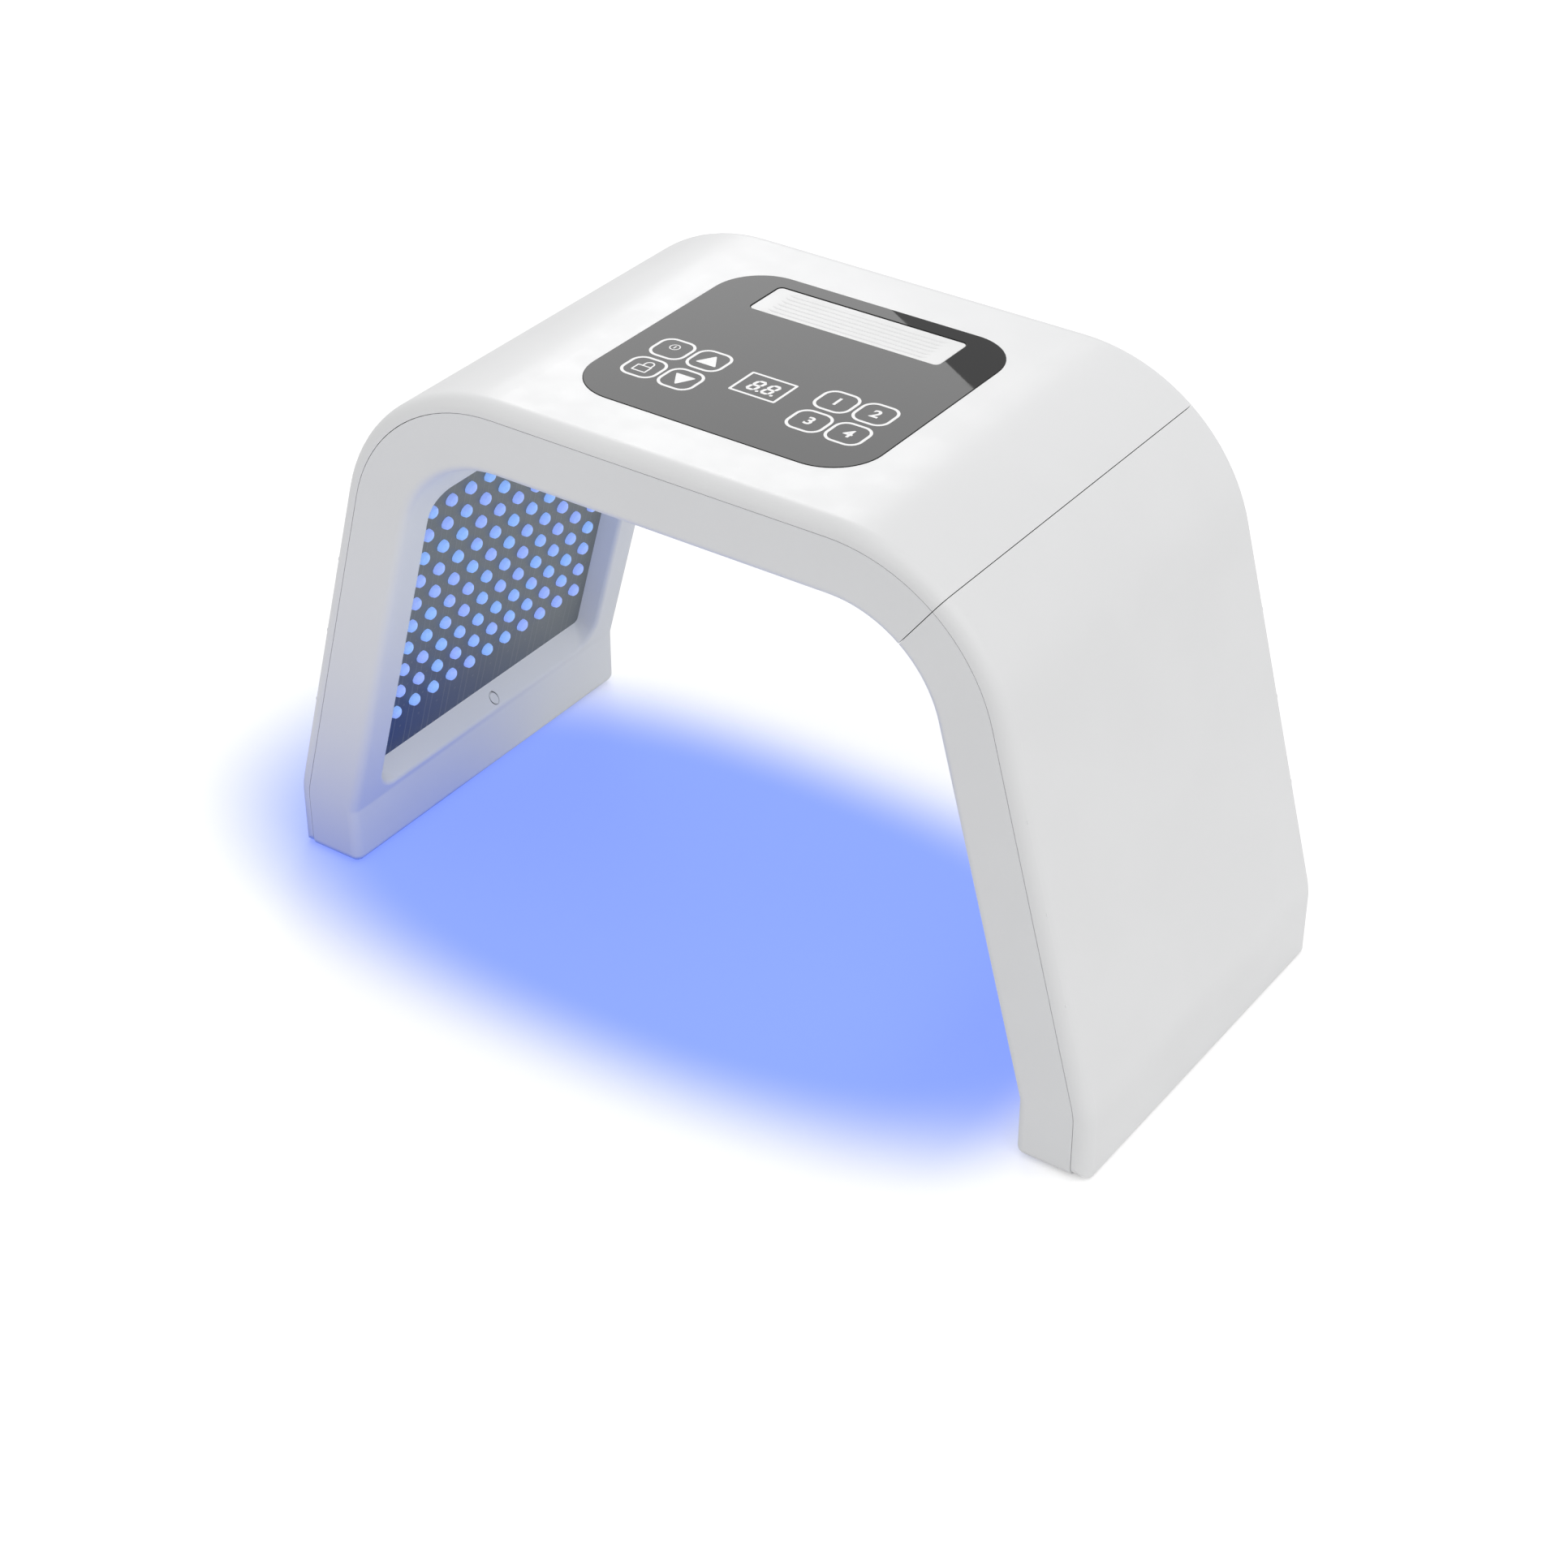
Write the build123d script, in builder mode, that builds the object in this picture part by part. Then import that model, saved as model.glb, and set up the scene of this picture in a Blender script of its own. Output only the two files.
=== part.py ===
from build123d import *
from math import cos, radians, sin, tan
import os

# A table-top light arch: a white two-part housing in the shape of a bridge, with lamp
# boards in its legs and crown, a touch panel and a vent on top, and one leg that folds in.
# X runs across the feet, Y from front rim to back rim, Z up from the table. The origin is
# on the table under the middle of the arch. Lengths are in millimetres, angles in degrees.

# The arch
arch_width = 430.0
arch_depth = 200.0
arch_height = 273.0
arch_wall = 34.4
leg_splay = 15.0
foot_height = 34.0
corner_radius = 88.0
ankle_radius = 40.0
parting_inset = 7.0
parting_gap = 0.3
edge_radius = 6.5
rim_radius = 4.5
foot_radius = 3.5
shell_wall = 2.4
liner_wall = 2.4
rib_thickness = 1.6
rib_drop = 4.6
rib_shares = (0.285, 0.525, 0.765)
seam_gap = 0.35
overrun = 5.0
window_overrun = 1.0
part_clearance = 0.15

# Lamp windows, boards and lamps
window_side = 18.0
window_radius = 13.5
window_back_radius = 2.5
window_edge_radius = 2.5
recess_depth = 10.0
recess_draft = 3.0
sill_height = 3.5
sill_run = 7.8
leg_window_end = -6.0
crown_window_end = 5.4
frame_wall = 2.4
board_side_lap = 11.0
board_thickness = 1.6
board_lap = 2.0
sill_lap = 0.5
board_screw_inset = 4.0
board_screw_margin = 10.0
lamp_pitch = 13.45
lamp_radius = 3.15
lamp_height = 3.4
lamp_taper = 18.0
lamp_sides = 6
lamp_side_margin = 14.75
leg_lamp_start = 27.9
leg_lamp_end = 21.2
crown_lamp_end = 10.8

# Control panel, keys, display and vent
panel_side = 11.1
panel_front = 32.4
panel_radius = 24.0
panel_thickness = 1.6
panel_proud = 0.3
panel_edge = 0.25
panel_seat = 2.0
panel_seat_margin = 4.0
key_pitch_width_share = 0.132
key_pitch_length_share = 0.15
key_group_share = 0.2893
key_row_share = 0.198
key_opening_width_share = 0.83
key_opening_length_share = 0.296
key_opening_radius = 6.0
touch_board_lap = 5.0
touch_board_thickness = 1.6
touch_hook_width = 6.0
touch_hook_wall = 1.6
touch_hook_lip = 1.0
touch_hook_share = 0.311
touch_pad_share = 0.235
display_width = 24.0
display_length = 19.0
display_height = 7.0
display_share = 0.1723
display_flange = 2.0
display_flange_height = 1.0
vent_width_share = 0.67
vent_length = 24.2
vent_share = 0.3447
vent_radius = 2.5
vent_rim = 2.2
vent_lip = 1.0
vent_slats = 6
vent_slat_thickness = 2.9
vent_slat_lean = 2.6
vent_slat_sink = 0.2

# Electronics in the crown
driver_width_share = 0.484
driver_length_share = 0.1775
driver_share = 0.2627
driver_gap = 2.8
driver_drop = 8.0
standoff_radius = 3.0
driver_thickness = 1.6
driver_hole_inset = 4.0
coil_radius = 5.0
coil_height = 6.0
capacitor_radius = 4.0
capacitor_height = 7.5
chip_size = 9.0
chip_height = 1.4
fan_size = 40.0
fan_height = 10.0
fan_share = 0.18
fan_duct_radius = 18.8
fan_hub_radius = 8.5
fan_carrier_radius = 9.5
fan_carrier_height = 1.5
fan_hub_height = 7.2
fan_strut = 2.0
fan_running_gap = 0.5
fan_blades = 7
fan_blade_chord = 7.0
fan_blade_thickness = 0.9
fan_blade_root = 0.9
fan_blade_pitch = 38.0
fan_shaft_radius = 1.0
fan_hole_spacing = 32.0
fan_corner_radius = 3.0
fan_screw_bite = 1.4
inlet_x = -60.0
inlet_drop = 15.5
inlet_body = 9.6
inlet_body_depth = 13.0
inlet_barrel_radius = 4.6
inlet_bore_radius = 3.1
inlet_bore_depth = 9.5
inlet_pin_radius = 1.0
inlet_flange_radius = 6.0
inlet_flange_height = 0.8

# Fold hinges
hinge_spacing_share = 0.58
hinge_width = 40.0
hinge_barrel_radius = 3.4
hinge_pin_radius = 1.5
hinge_pin_head_radius = 2.5
hinge_pin_head_height = 1.2
running_gap = 0.05
hinge_knuckle_gap = 0.25
hinge_pocket_gap = 0.4
hinge_leaf_thickness = 1.6
hinge_leaf_length = 21.0
hinge_leaf_radius = 3.0
hinge_wall = 5.0
hinge_screw_spacing = 26.0
hinge_screw_reach = 14.0
wire_hole_radius = 6.0
wire_hole_reach = 13.0

# Screws, plugs and feet
cover_screw_radius = 1.5
cover_screw_head_radius = 2.6
cover_screw_head_height = 1.7
cover_screw_length = 18.0
cover_boss_radius = 3.8
cover_pad_depth = 4.0
cover_head_sink = 0.1
cover_screw_share = 0.3
cover_screw_crown_step = 6.6
cover_screw_turn = 20.0
sill_screw_y = 7.0
sill_screw_share = 0.4
sill_plug_radius = 2.75
sill_plug_height = 3.0
sill_boss_radius = 4.0
sill_boss_end = 2.1
screw_floor = 1.8
screw_run = 1.0
board_screw_radius = 1.25
board_screw_head_radius = 2.3
board_screw_head_height = 1.2
board_screw_length = 6.0
board_boss_radius = 3.2
hinge_screw_radius = 1.5
hinge_screw_head_radius = 2.8
hinge_screw_length = 9.0
screw_clearance = 0.08
screw_sides = 12
countersink_taper = 45
head_clearance = 0.15
pad_proud = 0.8
pad_sink = 1.0
pad_width = 9.0
pad_length = 42.0
pad_spacing_share = 0.64

# Derived places
base = pad_proud
half_width = arch_width / 2
splay = radians(leg_splay)
corner_turn = radians(90 - leg_splay)
seam_turn = corner_turn / 2
crown_corner_x = half_width - (arch_height - foot_height) * tan(splay)
crown_flat_half = crown_corner_x - corner_radius * tan(seam_turn)
inner_radius = corner_radius - arch_wall
pivot_x = crown_flat_half + inner_radius * sin(seam_turn)
pivot_z = arch_height - corner_radius + inner_radius * cos(seam_turn)
ceiling = arch_height - arch_wall
ankle_z = foot_height - arch_wall * tan(splay / 2)
leg_straight = (ceiling - ankle_z) / cos(splay) - inner_radius * tan(seam_turn)
hinge_spacing = hinge_spacing_share * arch_depth
pad_spacing = pad_spacing_share * arch_depth
seat_floor = arch_height + panel_proud - panel_thickness
seat_underside = seat_floor - panel_seat
window_slope = recess_draft / recess_depth
window_flare = (window_radius - window_back_radius) / recess_depth
window_width = arch_depth - 2 * window_side
board_width = window_width + 2 * board_side_lap
leg_window_length = leg_straight - leg_window_end - sill_height
crown_window_length = 2 * (crown_flat_half - crown_window_end)
panel_width = 2 * (crown_flat_half - panel_side)
panel_length = arch_depth - 2 * panel_front
vent_width = vent_width_share * panel_width
vent_y = vent_share * panel_length
sill_slope = sill_run / recess_depth

# Planes that pieces are placed on: each leg's inner face, the crown's underside and the
# fold's seam, whose normal points into the folding leg and whose x axis is radial.


def leg_plane(side):
    """A leg's inner face: x across the depth, y up the leg, z into the space under the arch."""
    return Plane(
        origin=(side * (half_width - arch_wall), 0, ankle_z),
        x_dir=(0, -side, 0),
        z_dir=(-side * cos(splay), 0, -sin(splay)),
    )


left_face = leg_plane(-1)
right_face = leg_plane(1)
crown_face = Plane(origin=(0, 0, ceiling), x_dir=(0, 1, 0), z_dir=(0, 0, -1))
seam = Plane(
    origin=(pivot_x, 0, pivot_z),
    x_dir=(sin(seam_turn), 0, cos(seam_turn)),
    z_dir=(cos(seam_turn), 0, -sin(seam_turn)),
)
crown_end = seam.offset(-seam_gap / 2)
wing_end = seam.offset(seam_gap / 2)


middle = [(0, 0, 0)]


def places(plane, points):
    """Locations of local points on a plane, turned with it."""
    return [plane.location * Location(point) for point in points]


# Solids that the housing is cut from


def arch_mass(inset, depth, floor, edge=0):
    """The arch's mass at an inset from its outer face, with the space below it filled in."""
    half = half_width - inset
    ankle = foot_height - inset * tan(splay / 2)
    top = arch_height - inset
    corner = half - (top - ankle) * tan(splay)
    with BuildPart() as mass:
        with BuildSketch(Plane.XZ) as outline:
            with BuildLine():
                Polyline(
                    (-half, floor), (-half, ankle), (-corner, top),
                    (corner, top), (half, ankle), (half, floor), close=True,
                )
            make_face()
            fillet(outline.vertices().group_by(Axis.Y)[1], radius=ankle_radius - inset)
            fillet(outline.vertices().group_by(Axis.Y)[-1], radius=corner_radius - inset)
        extrude(amount=depth / 2, both=True)
        if edge:
            fillet(mass.faces().filter_by(Axis.Y).edges(), radius=edge)
    return mass.part


def one_side(solid, plane, keep):
    """The part of a solid on one side of a plane."""
    with BuildPart() as side:
        add(solid)
        split(bisect_by=plane, keep=keep)
    return side.part


def window_cut(plane, low, high, low_slope):
    """A lamp window: an opening to the board that is wider and rounder at its mouth."""
    with BuildPart() as cut:
        for depth in (-overrun, recess_depth + window_overrun):
            start, end = low + low_slope * depth, high - window_slope * depth
            width = window_width - 2 * window_slope * depth
            with BuildSketch(plane.offset(-depth)):
                with Locations((0, (start + end) / 2)):
                    RectangleRounded(width, end - start, window_radius - window_flare * depth)
        loft()
    return cut.part



def window_frame(plane, low, high):
    """The wall that stands round a lamp window, between the inner face and the board."""
    with BuildPart() as frame:
        with BuildSketch(plane.offset(-recess_depth)):
            with Locations((0, (low + high) / 2)):
                Rectangle(window_width + 2 * frame_wall, high - low + 2 * frame_wall)
        extrude(amount=recess_depth - liner_wall / 2)
    return frame.part


leg_low, leg_high = sill_height, sill_height + leg_window_length
crown_low, crown_high = -crown_window_length / 2, crown_window_length / 2
leg_board_low = leg_low + sill_run - sill_lap
leg_board_high = leg_high - recess_draft + board_lap
crown_board_half = crown_high - recess_draft + board_lap
board_screw_x = board_width / 2 - board_screw_inset
leg_board_span = leg_board_high - leg_board_low - 2 * board_screw_margin
leg_board_screws = [
    (side * board_screw_x, leg_board_low + board_screw_margin + share * leg_board_span, 0)
    for side in (-1, 1)
    for share in (0, 0.5, 1)
]
crown_board_screws = [
    (side * board_screw_x, share * (crown_board_half - board_screw_margin), 0)
    for side in (-1, 1)
    for share in (-1, 0, 1)
]
cover_screw_y = cover_screw_share * arch_depth
cover_screw_x = crown_flat_half + cover_screw_crown_step
leg_cover_screws = [(side * cover_screw_y, 0, 0) for side in (-1, 1)]
crown_cover_screws = [
    (side * cover_screw_y, end * cover_screw_x, 0) for side in (-1, 1) for end in (-1, 1)
]



def corner_plane(face):
    """The place on the inner corner above a leg where the screws of the two covers sit."""
    turn = radians(cover_screw_turn)
    place = (0, leg_straight + inner_radius * sin(turn), inner_radius * (1 - cos(turn)))
    return Plane(face.location * Location(place, (cover_screw_turn, 0, 0)))


# The screw behind each window's sill lies level, across the width of the arch.
sill_point = (
    sill_height + sill_screw_share * sill_run, -sill_screw_share * recess_depth
)
sill_x = half_width - arch_wall - sill_point[0] * sin(splay) - sill_point[1] * cos(splay)
sill_z = left_face.origin.Z + sill_point[0] * cos(splay) - sill_point[1] * sin(splay)


def sill_plane(side):
    """A plane at the middle of a leg's sill, facing level into the space under the arch."""
    return Plane(
        origin=(side * sill_x, sill_screw_y, sill_z), x_dir=(0, -side, 0), z_dir=(-side, 0, 0)
    )


os.makedirs("parts", exist_ok=True)

outer_mass = arch_mass(0, arch_depth, base, edge_radius)
shell_core = arch_mass(
    shell_wall, arch_depth - 2 * shell_wall, base + shell_wall, edge_radius - shell_wall
)
parting_mass = arch_mass(parting_inset, arch_depth + 2 * overrun, base - overrun)
inner_space = arch_mass(arch_wall, arch_depth + 2 * overrun, base - overrun)

with BuildPart() as arch_liner:
    add(arch_mass(parting_inset + parting_gap, arch_depth, base))
    add(inner_space, mode=Mode.SUBTRACT)
    inner_edges = arch_liner.edges(Select.LAST).filter_by(Axis.Y, reverse=True)
    fillet(inner_edges.group_by(Axis.Y)[0] + inner_edges.group_by(Axis.Y)[-1], radius=rim_radius)
    soles = arch_liner.edges().filter_by(Axis.Y).group_by(Axis.Z)[0]
    fillet(soles.sort_by(lambda edge: abs(edge.center().X))[:2], radius=foot_radius)

with BuildPart() as liner_core:
    add(arch_mass(parting_inset - overrun, arch_depth - 2 * liner_wall, base + liner_wall))
    add(arch_mass(arch_wall - liner_wall, arch_depth, base - overrun), mode=Mode.SUBTRACT)


def posts(plane, points, near, far, radius, mode=Mode.ADD):
    """Round posts, or bores, that stand on a face's inner side between two depths."""
    with Locations(*places(plane.offset(-far), points)):
        Cylinder(radius, far - near, align=(Align.CENTER, Align.CENTER, Align.MIN), mode=mode)


def flat_posts(plane, points, near, far, radius, mode=Mode.ADD):
    """As posts, but with flat sides, for what lies hidden."""
    with BuildSketch(plane.offset(-far)) as ends:
        with Locations(*points):
            RegularPolygon(radius, screw_sides)
    extrude(ends.sketch, amount=far - near, mode=mode)


def pan_screw(head_radius, head_height, radius, length):
    """A pan-head screw whose head stands on the XY plane and whose shank points down."""
    with BuildPart() as screw:
        flat_posts(Plane.XY, middle, -head_height, 0, head_radius)
        flat_posts(Plane.XY, middle, 0, length, radius)
    return screw.part


def sunk_screw(head_radius, radius, length):
    """A countersunk screw whose flat head is flush with the XY plane."""
    with BuildPart() as screw:
        with BuildSketch():
            RegularPolygon(head_radius, screw_sides)
        extrude(amount=radius - head_radius, taper=countersink_taper)
        flat_posts(Plane.XY, middle, 0, length, radius)
    return screw.part


def each(piece, locations):
    """One piece at several places."""
    with BuildPart() as group:
        with Locations(*locations):
            add(piece)
    return group.part


def outward(plane, depth, points):
    """Places at a depth behind a face, turned to look away from the space under the arch."""
    return [plane.offset(-depth).location * Location(point, (180, 0, 0)) for point in points]


def inward(plane, depth, points):
    """Places at a depth behind a face, looking into the space under the arch."""
    return places(plane.offset(-depth), points)


# The fold hinge's axis, and what both sides of the seam share

pivot_axis = Plane(origin=(pivot_x, 0, pivot_z), x_dir=(1, 0, 0), z_dir=(0, 1, 0))
hinge_ys = (-hinge_spacing / 2, hinge_spacing / 2)
hinge_screw_points = [
    (hinge_screw_reach, y + side * hinge_screw_spacing / 2, 0) for y in hinge_ys for side in (-1, 1)
]
knuckle_length = (hinge_width - 2 * hinge_knuckle_gap) / 3
knuckle_offset = knuckle_length + hinge_knuckle_gap

with BuildPart() as hinge_pockets:
    pocket_length = hinge_width + 2 * (hinge_pin_head_height + hinge_pocket_gap)
    with Locations(*places(pivot_axis, [(0, 0, y) for y in hinge_ys])):
        Cylinder(hinge_barrel_radius + hinge_pocket_gap, pocket_length)


def leaf_outline(spare):
    """One hinge leaf's outline on its plane, from the axis outwards, with room to spare."""
    with Locations((hinge_leaf_length / 2, 0)):
        RectangleRounded(
            hinge_leaf_length + 2 * spare, hinge_width + 2 * spare, hinge_leaf_radius
        )


def leaf_recess(end, side):
    """The shallow seats for both leaves in one side's end wall."""
    with BuildPart() as recess:
        for y in hinge_ys:
            seat = Plane(end.location * Location((0, y, 0)))
            with BuildSketch(seat):
                leaf_outline(part_clearance)
            extrude(amount=side * hinge_leaf_thickness)
            with BuildSketch(seat):
                leaf_outline(part_clearance)
            extrude(amount=-side * seam_gap)
    return recess.part


def hinge_leaf(end, side, own, other):
    """One leaf with its own knuckles, relieved round the other leaf's knuckles."""
    with BuildPart() as leaf:
        with BuildSketch(end):
            leaf_outline(0)
        extrude(amount=side * hinge_leaf_thickness)
        with Locations(*places(pivot_axis, middle)):
            Cylinder(
                hinge_barrel_radius + hinge_pocket_gap, hinge_width + overrun, mode=Mode.SUBTRACT
            )
        with BuildSketch(end):
            with Locations(*[(hinge_barrel_radius, y) for y in own]):
                Rectangle(2 * hinge_barrel_radius, knuckle_length)
        extrude(amount=side * hinge_leaf_thickness)
        with Locations(*places(pivot_axis, [(0, 0, y) for y in own])):
            Cylinder(hinge_barrel_radius, knuckle_length)
        with Locations(*places(pivot_axis, middle)):
            Cylinder(
                hinge_pin_radius + running_gap, hinge_width + overrun, mode=Mode.SUBTRACT
            )
        with Locations(*places(pivot_axis, [(0, 0, y) for y in other])):
            Cylinder(
                hinge_barrel_radius + hinge_pocket_gap / 2,
                knuckle_length + 2 * hinge_knuckle_gap,
                mode=Mode.SUBTRACT,
            )
        facing = Plane(origin=end.origin, x_dir=end.x_dir, z_dir=-side * end.z_dir)
        holes = [(hinge_screw_reach, s * hinge_screw_spacing / 2, 0) for s in (-1, 1)]
        with Locations(*places(facing, holes)):
            add(screw_hole, mode=Mode.SUBTRACT)
    return leaf.part


screw_hole = sunk_screw(
    hinge_screw_head_radius + screw_clearance,
    hinge_screw_radius + screw_clearance,
    hinge_leaf_thickness + overrun,
)
crown_knuckles = (-knuckle_offset, knuckle_offset)
wing_knuckles = (0,)
crown_leaf = hinge_leaf(crown_end, -1, crown_knuckles, wing_knuckles)
wing_leaf = hinge_leaf(wing_end, 1, wing_knuckles, crown_knuckles)
crown_recess = leaf_recess(crown_end, -1)
wing_recess = leaf_recess(wing_end, 1)


def seam_cuts(recess, end, side):
    """Everything the fold needs from one liner's end wall."""
    add(hinge_pockets.part, mode=Mode.SUBTRACT)
    add(recess, mode=Mode.SUBTRACT)
    wall = end.offset(side * hinge_wall / 2)
    bore = hinge_screw_radius + screw_clearance
    flat_posts(wall, hinge_screw_points, -hinge_wall, hinge_wall, bore, Mode.SUBTRACT)
    with Locations(*places(wall, [(wire_hole_reach, 0, 0)])):
        Cylinder(wire_hole_radius, hinge_wall * 2, mode=Mode.SUBTRACT)


# Foot pads and their seats

pad_x = half_width - (parting_inset + arch_wall) / 2


def foot_pad_solids(side, spare, thickness):
    """The slots of one foot's pads, from the table up, or their seats."""
    with BuildPart() as pads:
        with BuildSketch():
            with Locations((side * pad_x, -pad_spacing / 2), (side * pad_x, pad_spacing / 2)):
                SlotOverall(pad_length + 2 * spare, pad_width + 2 * spare, rotation=90)
        extrude(amount=thickness)
    return pads.part


left_pad_seats = foot_pad_solids(-1, part_clearance, pad_proud + pad_sink)
right_pad_seats = foot_pad_solids(1, part_clearance, pad_proud + pad_sink)

# Inner covers

left_window = window_cut(left_face, leg_low, leg_high, sill_slope)
right_window = window_cut(right_face, leg_low, leg_high, sill_slope)
crown_window = window_cut(crown_face, crown_low, crown_high, window_slope)
left_frame = window_frame(left_face, leg_low, leg_high)
right_frame = window_frame(right_face, leg_low, leg_high)
crown_frame = window_frame(crown_face, crown_low, crown_high)
cover_head_depth = cover_screw_head_height + cover_head_sink
sill_plug_top = sill_plug_radius + cover_head_sink
sill_head_depth = sill_plug_top + sill_plug_height + cover_screw_head_height
sill_boss_depth = sill_head_depth + screw_floor


def rounded_window(face, window):
    """Cuts a window and rounds its mouth, on the inner face and on the corner above it."""
    near = window_edge_radius / 2
    add(window, mode=Mode.SUBTRACT)
    mouth = [
        edge for edge in edges(Select.LAST)
        if abs(face.to_local_coords(edge.center()).Z) < near
    ]
    fillet(mouth, radius=window_edge_radius)


def leg_features(face, frame, window, level, seats):
    """What both legs' inner covers have: window, board posts, screw holes and pad seats."""
    corner = corner_plane(face)
    add(frame)
    flat_posts(face, leg_board_screws, liner_wall / 2, recess_depth, board_boss_radius)
    flat_posts(corner, leg_cover_screws, liner_wall / 2, cover_pad_depth, cover_boss_radius)
    posts(level, middle, 0, sill_boss_depth, sill_boss_radius)
    rounded_window(face, window)
    board_holes(face, leg_board_screws)
    cover_holes(corner, leg_cover_screws)
    plug_bore = sill_plug_radius + part_clearance
    posts(level, middle, -overrun, sill_head_depth, plug_bore, Mode.SUBTRACT)
    shank = cover_screw_radius + screw_clearance
    flat_posts(level, middle, 0, sill_boss_depth + overrun, shank, Mode.SUBTRACT)
    add(seats, mode=Mode.SUBTRACT)


def board_holes(face, points):
    """Blind holes in a board's posts."""
    bore = board_screw_radius + screw_clearance
    far = recess_depth + overrun
    near = recess_depth + board_thickness - board_screw_length - screw_clearance
    flat_posts(face, points, near, far, bore, Mode.SUBTRACT)


def cover_holes(face, points):
    """Counterbored holes for the screws that join the two covers."""
    head = cover_screw_head_radius + head_clearance
    shank = cover_screw_radius + screw_clearance
    flat_posts(face, points, -overrun, cover_head_depth, head, Mode.SUBTRACT)
    flat_posts(face, points, 0, cover_pad_depth + overrun, shank, Mode.SUBTRACT)


inlet_z = arch_height - inlet_drop
inlet_face = Plane(origin=(inlet_x, arch_depth / 2, inlet_z), x_dir=(-1, 0, 0), z_dir=(0, 1, 0))

with BuildPart() as crown_liner:
    add(one_side(arch_liner.part, crown_end, Keep.BOTTOM))
    add(one_side(liner_core.part, crown_end.offset(-hinge_wall), Keep.BOTTOM), mode=Mode.SUBTRACT)
    add(crown_frame)
    flat_posts(crown_face, crown_board_screws, liner_wall / 2, recess_depth, board_boss_radius)
    flat_posts(crown_face, crown_cover_screws, liner_wall / 2, cover_pad_depth, cover_boss_radius)
    rounded_window(crown_face, crown_window)
    board_holes(crown_face, crown_board_screws)
    cover_holes(crown_face, crown_cover_screws)
    leg_features(left_face, left_frame, left_window, sill_plane(-1), left_pad_seats)
    seam_cuts(crown_recess, crown_end, -1)
    bore = inlet_barrel_radius + part_clearance
    posts(inlet_face, [(0, 0, 0)], -overrun, liner_wall + overrun, bore, Mode.SUBTRACT)
crown_liner.part.label = "crown_liner"
export_step(crown_liner.part, "parts/crown_liner.step")

with BuildPart() as wing_liner:
    add(one_side(arch_liner.part, wing_end, Keep.TOP))
    add(one_side(liner_core.part, wing_end.offset(hinge_wall), Keep.TOP), mode=Mode.SUBTRACT)
    leg_features(right_face, right_frame, right_window, sill_plane(1), right_pad_seats)
    seam_cuts(wing_recess, wing_end, 1)
wing_liner.part.label = "wing_liner"
export_step(wing_liner.part, "parts/wing_liner.step")

# Outer covers

boss_far = arch_wall - shell_wall / 2
cover_pilot = cover_head_depth + cover_screw_length + screw_run
sill_pilot = sill_head_depth + cover_screw_length + screw_run
sill_boss_far = half_width - sill_boss_end - sill_x


def leg_bosses(face, level):
    """What stands inside both legs' outer covers: screw bosses and cross ribs."""
    corner = corner_plane(face)
    flat_posts(corner, leg_cover_screws, cover_pad_depth, boss_far, cover_boss_radius)
    flat_posts(level, middle, sill_boss_depth, sill_boss_far, cover_boss_radius)
    bore = cover_screw_radius + screw_clearance
    flat_posts(corner, leg_cover_screws, 0, cover_pilot, bore, Mode.SUBTRACT)
    flat_posts(level, middle, 0, sill_pilot, bore, Mode.SUBTRACT)
    rib_points = [(0, share * leg_straight, 0) for share in rib_shares]
    with Locations(*places(face.offset(shell_wall / 2 - arch_wall), rib_points)):
        Box(
            arch_depth - 2 * shell_wall + part_clearance,
            rib_thickness,
            shell_wall / 2 + rib_drop,
            align=(Align.CENTER, Align.CENTER, Align.MIN),
        )


def panel_outline(spare):
    """The touch panel's outline, grown by a margin."""
    RectangleRounded(panel_width + 2 * spare, panel_length + 2 * spare, panel_radius + spare)


def vent_outline(spare):
    """The vent's outline, grown by a margin."""
    with Locations((0, vent_y)):
        RectangleRounded(vent_width + 2 * spare, vent_length + 2 * spare, vent_radius + spare)


key_pitch_x = key_pitch_width_share * panel_width
key_pitch_y = key_pitch_length_share * panel_length
key_group_x = key_group_share * panel_width
key_row_y = -key_row_share * panel_length
key_opening_width = key_opening_width_share * panel_width
key_opening_length = key_opening_length_share * panel_length
display_y = -display_share * panel_length
touch_hook_x = touch_hook_share * panel_width
key_xs = [
    side * (key_group_x + half * key_pitch_x / 2) for side in (-1, 1) for half in (-1, 1)
]
key_ys = [key_row_y + half * key_pitch_y / 2 for half in (-1, 1)]
key_points = [(x, y) for x in key_xs for y in key_ys]
touch_board_width = key_opening_width + 2 * touch_board_lap
touch_board_length = key_opening_length + 2 * touch_board_lap
touch_underside = seat_underside - touch_board_thickness
driver_top = seat_underside - driver_drop
driver_width = driver_width_share * panel_width
driver_length = driver_length_share * panel_length
driver_x = -driver_share * panel_width
driver_corner_y = key_row_y + touch_board_length / 2 + driver_gap + standoff_radius
driver_y = driver_corner_y + driver_length / 2 - driver_hole_inset
fan_x = fan_share * panel_width
driver_points = [
    (
        driver_x + end * (driver_width / 2 - driver_hole_inset),
        driver_y + side * (driver_length / 2 - driver_hole_inset),
    )
    for end in (-1, 1)
    for side in (-1, 1)
]
fan_points = [
    (fan_x + end * fan_hole_spacing / 2, vent_y + side * fan_hole_spacing / 2)
    for end in (-1, 1)
    for side in (-1, 1)
]
fan_floor = seat_underside - fan_height
key_floor = Plane.XY.offset(seat_underside)


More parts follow.
